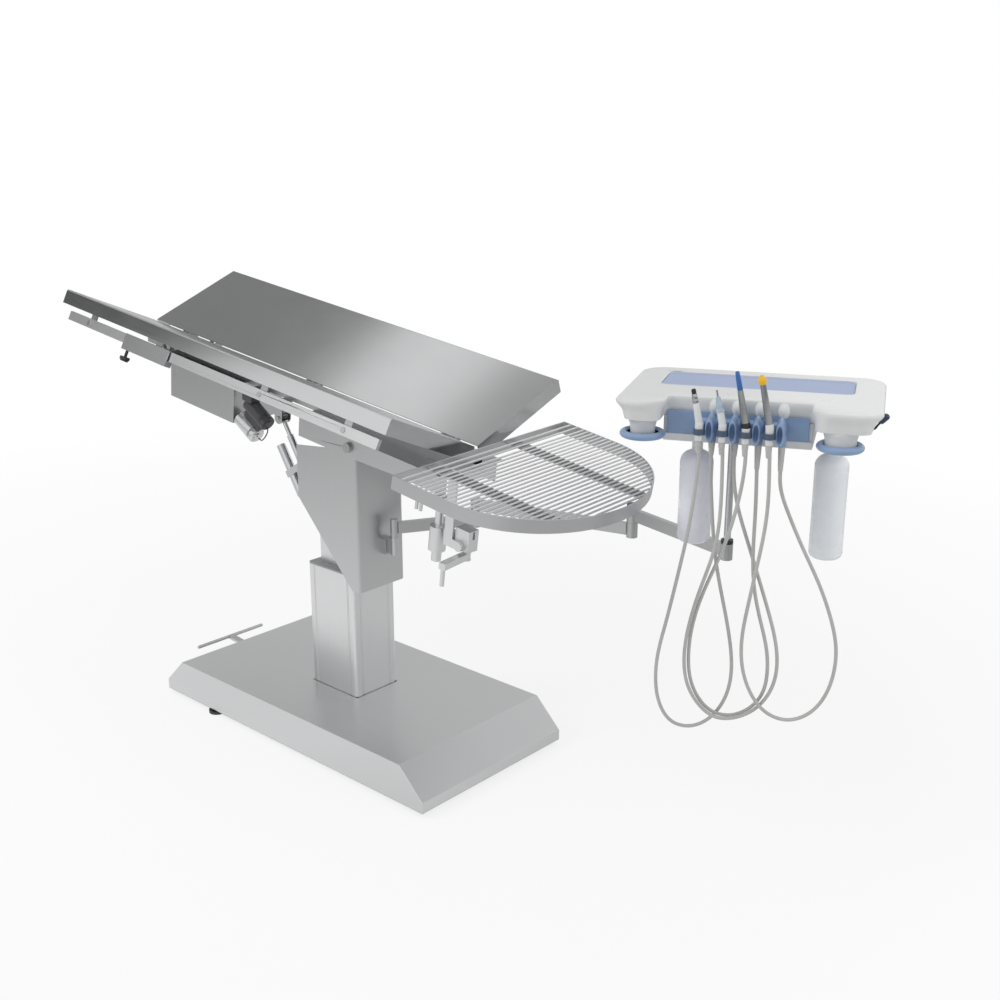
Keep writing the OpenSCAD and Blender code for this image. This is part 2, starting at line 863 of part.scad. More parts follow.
// Spine: a box section under the fold of the V, with a cross plate on it
module spine_channel() {
  color("silver") at_tilt() {
    difference() {
      translate([spine_s0, -spine_w / 2, spine_low])
        cube([spine_s1 - spine_s0, spine_w, spine_h]);
      translate([spine_s0 - over, -spine_w / 2 + spine_t, spine_low + spine_t])
        cube([spine_s1 - spine_s0 + 2 * over, spine_w - 2 * spine_t, spine_h - 2 * spine_t]);
    }
    for (y = [-1, 1]) translate([box_s0 - cross_t, y > 0 ? spine_w / 2 : -cross_w / 2, web_w])
      difference() {
        cube([cross_t, (cross_w - spine_w) / 2, cross_top - web_w]);
        quad_bolt_cut(y);
      }
  }
}

// Box under the spine, which holds the controls
module control_box() {
  color("silver") at_tilt() translate([box_s0, -box_w / 2, box_low]) difference() {
    cube([box_s1 - box_s0, box_w, spine_low - box_low]);
    translate([box_t, box_t, box_t])
      cube([box_s1 - box_s0 - 2 * box_t, box_w - 2 * box_t, spine_low - box_low]);
  }
}

// Pivot bolts of the tilting top, one each side
module tilt_pivot_bolts() {
  outer = side_in + side_t;
  color("gray") at_tilt() for (y = [0, 1]) mirror([0, y, 0]) {
    rod_y(pivot_r, head_w / 2 - 3 * head_t, outer);
    rod_y(bolt_head_r, outer, outer + bolt_head_h);
  }
}

// Hinge blocks on the spine, each with a pin for both panels
module panel_hinge_blocks() {
  color("gray") at_tilt() for (s = block_stations) translate([s, 0, 0]) {
    difference() {
      translate([-block_l / 2, -block_w / 2, spine_top])
        cube([block_l, block_w, pin_w + knuckle_r - spine_top - over]);
      for (y = [-1, 1]) translate([-block_l, y * pin_t, pin_w])
        rotate([0, 90, 0]) cylinder(r = pin_r, h = 2 * block_l);
    }
    for (y = [-1, 1]) translate([-block_l / 2 - lug_l - lug_gap, y * pin_t, pin_w])
      rotate([0, 90, 0]) cylinder(r = pin_r, h = block_l + 2 * lug_l + 2 * lug_gap);
  }
}

// Quadrant bolts: studs through the slots, with a nut
module quad_bolt_cut(y) {
  place = [0, y * (pin_t + quad_r * cos(quad_bolt_angle)), pin_w - quad_r * sin(quad_bolt_angle)];
  corner_y = y > 0 ? spine_w / 2 : -cross_w / 2;
  translate(place - [over, corner_y, web_w]) rotate([0, 90, 0])
    cylinder(r = quad_bolt_r, h = cross_t + 2 * over);
}
module quadrant_bolts() {
  color("gray") at_tilt() for (y = [-1, 1])
    translate([box_s0 - cross_t, y * (pin_t + quad_r * cos(quad_bolt_angle)),
               pin_w - quad_r * sin(quad_bolt_angle)]) rotate([0, 90, 0]) {
      translate([0, 0, quad_s - quad_t - box_s0 + cross_t - quad_nut_h])
        cylinder(r = quad_bolt_r, h = box_s0 - quad_s + quad_t + quad_nut_h);
      translate([0, 0, quad_s - quad_t / 2 - slide_gap - box_s0 + cross_t - quad_nut_h])
        cylinder(r = quad_nut_r, h = quad_nut_h);
    }
}

// Grid pivot pin: a block under the side plate with the pin hanging from it
module grid_pivot_pin() {
  color("gray") at_tilt() {
    translate([sleeve_s - pin_block_l / 2, sleeve_t - pin_block_w / 2, side_low_end - pin_block_h])
      cube([pin_block_l, pin_block_w, pin_block_h]);
    translate([sleeve_s, sleeve_t, sleeve_low - nose_h]) {
      cylinder(r = sleeve_pin_r, h = side_low_end - sleeve_low + nose_h);
      cylinder(r = nose_r, h = nose_h - slide_gap);
    }
  }
}

// Clevis of the tilt actuator under the spine, with its pin
module actuator_clevis() {
  half = eye_t / 2 + ear_gap;
  t0 = eye_y - col_y;
  color("gray") at_tilt() translate([act_s, t0, 0]) {
    for (y = [-1, 1]) translate([0, y * (half + weld_t / 2), 0]) difference() {
      union() {
        translate([0, 0, act_w]) rod_y(ear_plate_r, -weld_t / 2, weld_t / 2);
        translate([-ear_plate_r, -weld_t / 2, act_w])
          cube([2 * ear_plate_r, weld_t, spine_low - weld_t - act_w + over]);
      }
      translate([0, 0, act_w]) rod_y(act_pin_r, -weld_t, weld_t);
    }
    translate([0, 0, act_w]) rod_y(act_pin_r, -half - 2 * weld_t, half + 2 * weld_t);
    translate([-ear_plate_r, -half - weld_t, spine_low - weld_t])
      cube([2 * ear_plate_r, 2 * half + weld_t - t0 - spine_w / 2 + weld_t, weld_t]);
  }
}

// Drive unit under the spine: bright and dark cylinders on one bracket
module tilt_motor() {
  color("dimgray") at_tilt() translate([0, drive_t, 0]) {
    translate([drive_bright[0], 0, drive_bright[1]]) rotate([0, 90 + drive_slope, 0]) {
      cylinder(r = drive_bright_r, h = drive_bright_l);
      translate([0, 0, drive_bright_l])
        cylinder(r1 = drive_bright_r, r2 = drive_bright_r - drive_cap, h = drive_cap);
    }
    translate([drive_dark[0], 0, drive_dark[1]]) rotate([0, 90 + drive_slope, 0]) {
      cylinder(r = drive_dark_r, h = drive_dark_l);
      translate([-2 * drive_cap, -drive_cap, 0])
        cube([drive_bright_r + drive_dark_r + 2 * drive_cap, 2 * drive_cap, drive_bright_l]);
    }
    translate([drive_dark[0] - drive_cap, -drive_dark_r, drive_dark[1] + drive_cap])
      cube([2 * drive_dark_r, -drive_t - spine_t, spine_low - drive_dark[1] - drive_cap]);
  }
}

// Push rod of the tilt actuator, hung from the clevis by its eye
module tilt_actuator_rod() {
  color("lightgray") at_actuator() difference() {
    union() {
      rod_y(eye_r, -eye_t / 2, eye_t / 2);
      cylinder(r = act_rod_r, h = act_rod_to);
    }
    rod_y(act_pin_r, -eye_t, eye_t);
  }
}

// Tube of the tilt actuator with its motor, case and lower eye
module tilt_actuator_tube() {
  color("silver") at_actuator() difference() {
    union() {
      translate([0, 0, act_tube_from]) cylinder(r = act_tube_r, h = act_tube_to - act_tube_from);
      translate([side_off, 0, side_from]) cylinder(r = side_r, h = side_to - side_from);
      translate([-side_r, -side_r, act_tube_to - 2 * side_case])
        cube([side_off + 2 * side_r, 2 * side_r, side_case]);
      translate([-act_tube_r, -eye_t / 2, act_tube_to - side_case - over])
        cube([2 * act_tube_r, eye_t, act_len - act_tube_to + side_case + over]);
      translate([0, 0, act_len]) rod_y(eye_r, -eye_t / 2, eye_t / 2);
    }
    translate([0, 0, act_tube_from - over])
      cylinder(r = act_rod_r + run_gap, h = act_tube_to - act_tube_from);
    translate([0, 0, act_len]) rod_y(eye_bore_r, -eye_t, eye_t);
  }
}

// One tabletop panel: a sheet with turned-down rims on three sides
module panel() {
  out = panel_w;
  skin = rounded([[mid_gap, 0], [mid_gap, -sheet_t], [out - sheet_t, -sheet_t],
    [out - sheet_t, -rim_h], [out, -rim_h], [out, 0]],
    [0, 0, fold_r - sheet_t, 0, 0, fold_r]);
  face = rounded([[mid_gap, 0], [mid_gap, -rim_h], [out, -rim_h], [out, 0]], [0, 0, 0, fold_r]);
  color("silver") {
    translate([top_s0, 0, 0]) along_x(top_l) polygon(skin);
    for (s = [top_s0, top_s1 - sheet_t]) translate([s, 0, 0]) along_x(sheet_t) polygon(face);
  }
}
module along_x(l) {
  rotate([90, 0, 90]) linear_extrude(height = l) children();
}
module near_panel() {
  at_near_panel() panel();
}
module far_panel() {
  at_far_panel() panel();
}

// Hinge lugs and the locking quadrant under a panel, in the tabletop's axes
module panel_brackets() {
  color("gray") translate([0, pin_t, pin_w]) rotate([panel_angle, 0, 0]) {
    lift = v_w - pin_w;
    sheet = lift * cos(panel_angle) + pin_t * sin(panel_angle) - sheet_t;
    for (s = block_stations, side = [-1, 1])
      translate([s + side * (block_l / 2 + lug_gap + lug_l / 2) - lug_l / 2, 0, 0])
        along_x(lug_l) difference() {
          union() {
            circle(knuckle_r);
            translate([0, sheet / 2]) square([knuckle_r, sheet], center = true);
            translate([0, sheet - sheet_t]) square([2 * knuckle_r, sheet_t]);
          }
          circle(pin_r + run_gap);
        }
    translate([quad_s - quad_t / 2, 0, 0]) along_x(quad_t) difference() {
      union() {
        polygon(concat([for (a = [quad_start : 4 : quad_end]) quad_out * [cos(a), sin(a)]],
          [for (a = [quad_end : -4 : quad_start]) quad_in * [cos(a), sin(a)]]));
        translate([quad_in, quad_in * sin(quad_end) - sheet_t])
          square([quad_out - quad_in, sheet - quad_in * sin(quad_end) + sheet_t]);
      }
      polygon(concat([for (a = [quad_slot_from : 4 : quad_slot_to])
          (quad_r + quad_slot_r) * [cos(a), sin(a)]],
        [for (a = [quad_slot_to : -4 : quad_slot_from])
          (quad_r - quad_slot_r) * [cos(a), sin(a)]]));
      for (a = [quad_slot_from, quad_slot_to])
        translate(quad_r * [cos(a), sin(a)]) circle(quad_slot_r);
    }
  }
}
module near_panel_brackets() {
  at_tilt() mirror([0, 1, 0]) panel_brackets();
}
module far_panel_brackets() {
  at_tilt() panel_brackets();
}

// Accessory rail under the near rim, drilled for its bolts
module accessory_rail() {
  color("silver") at_near_panel() difference() {
    translate([rail_s0, rail_y, rail_z]) cube([rail_s1 - rail_s0, rail_t, rail_h]);
    for (s = standoff_stations) translate([s, 0, rail_z + rail_h / 2])
      rod_y(rail_bolt_r, rail_y - over, rail_y + rail_t + over);
  }
}

// Straps that carry the rail, each with its bolt
module rail_standoffs() {
  color("silver") at_near_panel() for (s = standoff_stations) translate([s, 0, 0]) {
    translate([-strap_w / 2, rail_y - weld_t, rail_z + clamp_t])
      cube([strap_w, weld_t, -rail_z - clamp_t - sheet_t]);
    translate([0, 0, rail_z + rail_h / 2]) {
      rod_y(rail_bolt_r, rail_y - 3 * weld_t, rail_y + rail_t);
      rod_y(rail_bolt_head, rail_y + rail_t, rail_y + rail_t + rail_bolt_h);
      rod_y(rail_bolt_head, rail_y - 3 * weld_t, rail_y - weld_t);
    }
  }
}

// Clamp that hooks round the rail from below
module rail_clamp() {
  front = rail_y + rail_t + clamp_front_gap;
  color("silver") at_near_panel() difference() {
    translate([clamp_s0, 0, 0]) union() {
      translate([0, front, clamp_low]) cube([clamp_l, clamp_t, clamp_up - clamp_low]);
      translate([0, rail_y - slide_gap - clamp_t, clamp_low])
        cube([clamp_l, front - rail_y + slide_gap + 2 * clamp_t,
              rail_z - slide_gap - clamp_low]);
      translate([0, rail_y - slide_gap - clamp_t, clamp_low])
        cube([clamp_l, clamp_t, rail_z + clamp_t - slide_gap - clamp_low]);
    }
    translate([screw_s, rail_y + rail_t / 2, clamp_low - over])
      cylinder(r = screw_r + run_gap, h = rail_z - clamp_low + 2 * over);
  }
}

// Thumb screw of the rail clamp
module rail_clamp_screw() {
  color("dimgray") at_near_panel() translate([screw_s, rail_y + rail_t / 2, screw_low]) {
    cylinder(r = screw_r, h = rail_z - slide_gap - screw_low);
    cylinder(r = screw_knob_r, h = screw_knob_h);
    translate([-screw_wing / 2, -screw_r, -screw_knob_h / 2])
      cube([screw_wing, 2 * screw_r, screw_knob_h]);
  }
}

// Sleeve on the grid's pivot pin, with an arm to the clamp block
module grid_sleeve() {
  face = hang_y + hang_t + slide_gap;
  color("silver") at_tilt() difference() {
    union() {
      translate([sleeve_s, sleeve_t, sleeve_low])
        cylinder(r = sleeve_r, h = sleeve_up - sleeve_low);
      translate([sleeve_s, face + slot_w, hang_low])
        cube([block_s0 - sleeve_s + over, block_depth - 2 * slot_w, sleeve_arm_h]);
      translate([block_s0, face, hang_low])
        cube([block_s1 - block_s0, block_depth, block_up - hang_low]);
      translate([lever_s, lever_t, hang_low - lever_gap - lever_h - weld_t])
        cylinder(r = lever_pin_r, h = lever_h + weld_t + lever_gap + over);
      translate([lever_s, lever_t, hang_low - lever_gap - slide_gap - lever_h - weld_t])
        cylinder(r = 2 * lever_pin_r, h = weld_t);
      translate([lever_s, lever_t, hang_low - lever_gap + slide_gap])
        cylinder(r = 2 * lever_pin_r, h = lever_gap);
    }
    translate([sleeve_s, sleeve_t, sleeve_low - over])
      cylinder(r = sleeve_pin_r + run_gap, h = sleeve_up - sleeve_low + 2 * over);
    translate([block_s1 - slot_w, face + block_depth / 2 - slot_w / 2, slot_up - slot_h / 2])
      cube([slot_w + over, slot_w, slot_h]);
    translate([grid_bolt_s, 0, grid_bolt_w])
      rod_y(grid_bolt_r + run_gap, face - over, face + block_depth + over);
  }
}

// Hanger of the grid: a plate with a foot, its pivot bolt, a pad under the rim and two studs
module grid_hanger() {
  back = hang_y + hang_t + slide_gap + block_depth;
  color("silver") {
    at_tilt() {
      translate([hang_s0, hang_y, hang_low]) cube([hang_s1 - hang_s0, hang_t, hang_up - hang_low]);
      translate([hang_s0, hang_y, hang_low])
        cube([grid_bolt_s - hang_s0, hang_t, 2 * (grid_bolt_w - hang_low)]);
      translate([grid_bolt_s, 0, grid_bolt_w]) {
        rod_y(foot_r, hang_y, hang_y + hang_t);
        rod_y(2 * grid_bolt_r, hang_y - weld_t, hang_y);
        rod_y(grid_bolt_r, hang_y, back + weld_t);
        rod_y(2 * grid_bolt_r, back + slide_gap, back + 2 * weld_t);
      }
    }
    at_grid() {
      translate([-weld_t, hang_y - grid_y - 3 * weld_t, -grid_band_h - weld_t])
        cube([bar_w * 2, bar_w * 2, weld_t]);
      for (x = stud_places)
        translate([x, -grid_w / 2 + band_t + grid_stud_r, -grid_band_h - grid_stud_h])
          cylinder(r = grid_stud_r, h = grid_stud_h + rod_d);
    }
  }
}

// The grid's D-shaped outline, inset by a wall
function grid_points(inset) =
  let (half = grid_w / 2 - inset, deep = grid_round - inset)
  concat([[inset, half], [inset, -half]],
    [for (a = [-90 : 5 : 90]) [grid_straight + deep * cos(a), half * sin(a)]]);

// How far across the grid a rod can reach at a distance from the straight edge
function grid_half(x) =
  let (half = grid_w / 2 - band_t, deep = grid_round - band_t)
  x <= grid_straight ? half : half * sqrt(1 - pow((x - grid_straight) / deep, 2));
function grid_reach(y) =
  let (half = grid_w / 2 - band_t, deep = grid_round - band_t)
  grid_straight + deep * sqrt(1 - pow(y / half, 2));

// Edge band of the grid
module grid_rim() {
  color("darkgray") at_grid() translate([0, 0, -grid_band_h]) linear_extrude(height = grid_band_h)
    difference() {
      polygon(grid_points(0));
      polygon(grid_points(band_t));
    }
}

// Cross rods of the grid
module grid_rods() {
  last = grid_straight + grid_round - rod_last_gap;
  step = (last - rod_first) / (rod_count - 1);
  color("lightgray") at_grid()
    for (x = concat(edge_rods, [for (i = [0 : rod_count - 1]) rod_first + i * step]))
      translate([x, 0, -rod_d / 2]) rod_y(rod_d / 2, -grid_half(x + rod_d / 2), grid_half(x + rod_d / 2));
}

// Flat bars under the rods, each with a long rod beside it
module grid_cross_bars() {
  color("darkgray") at_grid() for (y = bar_places) {
    side = y > 0 ? 1 : -1;
    reach = grid_reach(y + side * bar_w / 2);
    translate([band_t, y - bar_w / 2, -rod_d - bar_t]) cube([reach - band_t, bar_w, bar_t]);
    translate([band_t, y + long_rod_off, -rod_d * 1.5]) rotate([0, 90, 0])
      cylinder(r = rod_d / 2, h = grid_reach(y + long_rod_off + side * rod_d) - band_t);
  }
}

// Clamp lever under the block, with a grip hanging from its end
module grid_clamp_lever() {
  color("silver") at_tilt() translate([lever_s, lever_t, hang_low - lever_gap - lever_h])
    rotate([0, 0, lever_angle]) difference() {
      union() {
        cylinder(r = lever_width / 2, h = lever_h);
        translate([-lever_width / 2, -lever_l - grip_r, 0])
          cube([lever_width, lever_l + grip_r, lever_h]);
        translate([0, -lever_l, -grip_l]) cylinder(r = grip_r, h = grip_l + over);
      }
      translate([0, 0, -over]) cylinder(r = lever_pin_r + run_gap, h = lever_h + 2 * over);
    }
}

// One arm link: a tube between two knuckles, the first bored and the second pinned
module arm_tube(l, r0, r1) {
  translate([r0 - over, -arm_w / 2, -arm_h / 2]) difference() {
    cube([l - r0 - r1 + 2 * over, arm_w, arm_h]);
    translate([2 * over, arm_wall, arm_wall])
      cube([l - r0 - r1 - 2 * over, arm_w - 2 * arm_wall, arm_h - 2 * arm_wall]);
  }
}
module arm_lower() {
  low = knuckle2_z - slide_gap - knuckle_h;
  color("silver") {
    translate([hinge_x, hinge_y, 0]) {
      translate([0, 0, hinge_mid + slide_gap]) difference() {
        cylinder(r = hinge_r, h = hinge_top - hinge_mid);
        translate([0, 0, -over])
          cylinder(r = hinge_pin_r + run_gap, h = hinge_top - hinge_mid + 2 * over);
      }
      rotate([0, 0, arm1_angle]) translate([0, 0, arm1_z]) arm_tube(arm1_l, hinge_r, knuckle2_r);
    }
    translate([hinge2.x, hinge2.y, low]) {
      cylinder(r = knuckle2_r, h = knuckle_h);
      cylinder(r = arm_pin_r, h = 2 * knuckle_h);
    }
  }
}
module arm_middle() {
  low = knuckle3_z - slide_gap - knuckle_h;
  color("silver") {
    translate([hinge2.x, hinge2.y, 0]) {
      translate([0, 0, knuckle2_z]) difference() {
        cylinder(r = knuckle2_r, h = knuckle_h);
        translate([0, 0, -over]) cylinder(r = arm_pin_r + run_gap, h = knuckle_h + 2 * over);
      }
      rotate([0, 0, arm2_angle]) translate([0, 0, arm2_z]) arm_tube(arm2_l, knuckle2_r, knuckle2_r);
    }
    translate([elbow.x, elbow.y, low]) {
      cylinder(r = knuckle2_r, h = knuckle_h);
      cylinder(r = arm_pin_r, h = 2 * knuckle_h);
    }
  }
}
module arm_upper() {
  color("silver") {
    translate([elbow.x, elbow.y, 0]) {
      translate([0, 0, knuckle3_z]) difference() {
        cylinder(r = knuckle2_r, h = knuckle_h);
        translate([0, 0, -over]) cylinder(r = arm_pin_r + run_gap, h = knuckle_h + 2 * over);
      }
      rotate([0, 0, arm3_angle]) translate([0, 0, arm3_z]) arm_tube(arm3_l, knuckle2_r, knuckle2_r);
    }
    translate([post.x, post.y, knuckle3_z]) difference() {
      cylinder(r = knuckle2_r, h = knuckle_h);
      translate([0, 0, -over]) cylinder(r = post_r + run_gap, h = knuckle_h + 2 * over);
    }
  }
}

// Black caps on the elbow and on the post's knuckle
module arm_caps() {
  color("black") translate([0, 0, knuckle3_z + knuckle_h]) {
    translate([elbow.x, elbow.y, 0]) cylinder(r = knuckle2_r, h = cap_h);
    translate([post.x, post.y, 0]) difference() {
      cylinder(r = knuckle2_r, h = cap_h);
      translate([0, 0, -over]) cylinder(r = post_r + slide_gap, h = cap_h + 2 * over);
    }
  }
}

// Post that carries the unit
module unit_post() {
  color("gray") at_unit() translate([0, 0, knuckle3_z])
    cylinder(r = post_r, h = unit_z - knuckle3_z);
}

// Outline of the tray: straight back, rounded corners and two front lobes
function tray_points(inset) =
  let (half = tray_w / 2 - inset, back = tray_back - inset)
  let (front = -tray_lobe + inset * lobe_share)
  let (left = notch_left - unit_mid - inset * lobe_share)
  let (right = notch_right - unit_mid + inset * lobe_share)
  let (notch = recess_y + inset * notch_share, turn = notch_r + inset * notch_share)
  rounded([[half, back], [-half, back], [-half, front], [left, front], [left, notch],
    [right, notch], [right, front], [half, front]],
    [tray_corner - inset, tray_corner - inset, lobe_r - inset, lobe_r - inset,
     turn, turn, lobe_r - inset, lobe_r - inset], tray_run - 1);
function at_height(points, z) = [for (p = points) [p.x, p.y, z]];

// The tray's lid in five kinds of face: two lobes, two fans at the notch and the back
tray_run = 7;      // points at each corner
tray_lid = concat([[for (i = [2 * tray_run - 1 : 4 * tray_run]) i]],
  [for (i = [4 * tray_run : 5 * tray_run - 2]) [2 * tray_run - 1, i, i + 1]],
  [concat([for (i = [0 : 2 * tray_run - 1]) i], [5 * tray_run - 1, 5 * tray_run])],
  [for (i = [5 * tray_run : 6 * tray_run - 2]) [0, i, i + 1]],
  [concat([for (i = [6 * tray_run - 1 : 8 * tray_run - 1]) i], [0])]);

// Tray shell: a slab that draws in below its rim, a mat pocket, two lobes and their stubs
rim_steps = [[22, 43], [18, 31], [14, 22], [4, 14], [0, 8], [2, 3], [8, 0]];
module unit_shell() {
  mat_y = mat_back - mat_d;
  roof = tray_top - mat_pocket - shell_t;
  color("whitesmoke") at_unit() difference() {
    union() {
      translate([unit_mid, 0, 0])
        loft([for (r = rim_steps) at_height(tray_points(r[0]), tray_top - r[1])], tray_lid);
      for (h = handle_places) translate([h[0], handle_y, 0]) {
        translate([0, 0, lobe_low_z])
          cylinder(r1 = h[1], r2 = h[1] + lobe_flare, h = slab_z + shell_t - lobe_low_z);
        translate([0, 0, stub_z]) cylinder(r = h[1], h = lobe_low_z - stub_z + over);
      }
      translate([seat_x, lever_y, seat_z - seat_r])
        cylinder(r = seat_r, h = slab_z + over - seat_z + seat_r);
    }
    translate([unit_mid, mat_y + mat_d / 2, tray_top - mat_pocket])
      linear_extrude(height = mat_pocket + over) round_rect(mat_w, mat_d, mat_corner);
    translate([housing_x + shell_t, -recess_y + 2 * shell_t, slab_z - over])
      cube([housing_w - 2 * shell_t, housing_back - 3 * shell_t + recess_y, roof - slab_z + over]);
  }
}

// Lower housing under the tray, with a lip below the front panel
module unit_housing() {
  color("whitesmoke") at_unit() translate([housing_x, -housing_front, unit_z]) difference() {
    union() {
      cube([housing_w, housing_back + housing_front, slab_z - unit_z]);
      translate([0, -lip_t, 0]) cube([housing_w, lip_t + over, panel_z - unit_z]);
    }
    translate([shell_t, shell_t, shell_t])
      cube([housing_w - 2 * shell_t, housing_back + housing_front - 2 * shell_t,
            slab_z - unit_z]);
  }
}

// Mat in the tray's pocket
module unit_top_mat() {
  color("lightsteelblue") at_unit()
    translate([unit_mid, mat_back - mat_d / 2, tray_top - mat_pocket])
      linear_extrude(height = mat_t)
        round_rect(mat_w - 2 * slide_gap, mat_d - 2 * slide_gap, mat_corner);
}

// Blue front panel, on which the holders sit
module unit_front_panel() {
  color("steelblue") at_unit()
    translate([housing_x + panel_in, -housing_front - panel_t, panel_z])
      cube([housing_w - 2 * panel_in, panel_t, panel_h]);
}

// Four holders: block, cradle ring and oval jaws, with a hose socket below
function oval(w, h) = [for (a = [0 : 15 : 345]) [w / 2 * cos(a), h / 2 * sin(a)]];
module holder() {
  front = -housing_front - panel_t;
  mid_z = panel_z + jaw_h / 2;
  translate([-jaw_w / 2, jaw_back, holder_block_z])
    cube([holder_block_w, front - jaw_back, holder_block_h]);
  translate([jaw_off, (jaw_y + jaw_back) / 2, mid_z])
    across(jaw_back - jaw_y) polygon(oval(jaw_w, jaw_h));
  translate([relief_off, relief_y, panel_z]) cylinder(r = relief_r + over, h = cradle_h);
  difference() {
    union() {
      translate([0, grip_y, cradle_z]) cylinder(r = cradle_r, h = cradle_h);
      translate([-jaw_w / 4, grip_y, cradle_z])
        cube([jaw_w / 2, jaw_back - grip_y + over, cradle_h]);
    }
    translate([0, grip_y, cradle_z - over]) cylinder(r = cradle_bore, h = cradle_h + 2 * over);
  }
}
module holder_clamps() {
  color("cornflowerblue") at_unit() for (i = [0 : 3])
    translate([holder_x + i * holder_pitch, 0, 0]) holder();
}

// Instruments: an upright grip in its cradle, then a leaning head and tip
module instrument(i, parts) {
  at_unit() translate([holder_x + i * holder_pitch, grip_y, inst_low]) {
    cylinder(r1 = inst_r - 3 * over, r2 = inst_r, h = cradle_z - inst_low);
    translate([0, 0, cradle_z - inst_low]) cylinder(r = inst_r, h = inst_joint - cradle_z);
    translate([0, 0, inst_joint - inst_low]) {
      sphere(inst_r);
      rotate([0, -inst_lean, 0]) for (p = parts)
        translate([0, 0, p[0]]) cylinder(r1 = p[2], r2 = p[3], h = p[1]);
    }
  }
}
module instrument_1() {
  color("whitesmoke") instrument(0, inst_1_parts);
}
module instrument_2() {
  color("aliceblue") instrument(1, inst_2_parts);
}
module instrument_3() {
  color("darkgray") instrument(2, inst_3_parts);
}
module instrument_4() {
  color("darkgray") instrument(3, inst_4_parts);
}

// Tapered strain reliefs where the hoses leave the holders
module hose_strain_reliefs() {
  color("lightgray") at_unit() for (i = [0 : 3])
    translate([holder_x + relief_off + i * holder_pitch, relief_y, relief_lows[i]])
      cylinder(r1 = relief_end_r, r2 = relief_r, h = panel_z - relief_lows[i]);
}

// Instrument hoses
module hose_1() {
  hose(hose_1_route);
}
module hose_2() {
  hose(hose_2_route);
}
module hose_3() {
  hose(hose_3_route);
}
module hose_4() {
  hose(hose_4_route);
}

// Two bottles hanging under the unit by their necks
module bottles() {
  color("azure") at_unit() for (b = bottle_places) translate([b.x, b.y, 0])
    rotate_extrude() {
      polygon([[0, b[3]], [bottle_r - bottle_foot, b[3]],
        [bottle_r, b[3] + bottle_foot], [bottle_r, bottle_top - bottle_shoulder],
        [bottle_neck_r, bottle_top], [bottle_neck_r, b.z], [0, b.z]]);
    }
}

// Ring handles round the stubs of the two lobes
module ring_handles() {
  ring_r = handle_r - handle_bar_r;
  color("steelblue") at_unit() for (h = handle_places)
    translate([h[0], handle_y, handle_z]) {
      rotate_extrude() translate([ring_r, 0]) circle(handle_bar_r, $fn = 24);
      difference() {
        translate([0, 0, -handle_bar_r / 2]) cylinder(r = ring_r, h = handle_bar_r);
        translate([0, 0, -handle_bar_r]) cylinder(r = h[1] + run_gap, h = 2 * handle_bar_r);
      }
    }
}

// Side lever: a pivot pin in its seat, a bent rod and a knob
module side_lever() {
  color("midnightblue") at_unit() translate([seat_x, lever_y, seat_z]) {
    translate([seat_r + slide_gap, 0, 0]) rotate([0, 90, 0]) {
      cylinder(r = 2 * side_rod_r, h = side_rod_l);
      cylinder(r = side_rod_r, h = side_rod_l + side_rod_r);
    }
    translate([seat_r + side_rod_l + side_rod_r, 0, 0]) {
      sphere(side_rod_r);
      rotate([0, atan2(side_out, side_rise), 0]) cylinder(r = side_rod_r, h = norm([side_out, side_rise]));
      translate([side_out, 0, side_rise]) rotate([0, 45, 0]) {
        for (z = [-1, 1]) translate([0, 0, z * side_knob_l / 2]) sphere(side_knob_r);
        translate([0, 0, -side_knob_l / 2]) cylinder(r = side_knob_r, h = side_knob_l);
      }
    }
  }
}

base_cover();
base_frame_plate();
levelling_feet();
column_outer_tube();
column_guide_bush();
lift_spindle_tube();
pedal_bracket();
pedal_bar();
column_inner_tube();
head_housing();
head_mount_plate();
lift_actuator();
arm_bracket();
tilt_frame();
spine_channel();
control_box();
tilt_pivot_bolts();
panel_hinge_blocks();
quadrant_bolts();
grid_pivot_pin();
actuator_clevis();
tilt_motor();
tilt_actuator_tube();
tilt_actuator_rod();
near_panel();
near_panel_brackets();
accessory_rail();
rail_standoffs();
far_panel();
far_panel_brackets();
rail_clamp();
rail_clamp_screw();
grid_sleeve();
grid_hanger();
grid_rim();
grid_rods();
grid_cross_bars();
grid_clamp_lever();
arm_lower();
arm_middle();
arm_upper();
arm_caps();
unit_post();
unit_shell();
unit_housing();
unit_top_mat();
unit_front_panel();
holder_clamps();
instrument_1();
instrument_2();
instrument_3();
instrument_4();
hose_strain_reliefs();
hose_1();
hose_2();
hose_3();
hose_4();
bottles();
ring_handles();
side_lever();
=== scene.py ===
# %% [markdown]
# # A lifting treatment table with a grid and an instrument unit
# The table stands on a heavy base. Its column lifts, its V-shaped steel top tilts and folds, and a
# jointed arm carries a small instrument unit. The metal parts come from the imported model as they
# are and get their finishes here. The soft, moulded and turned parts of the unit are drawn again as
# finer surfaces, each in the place of its node.

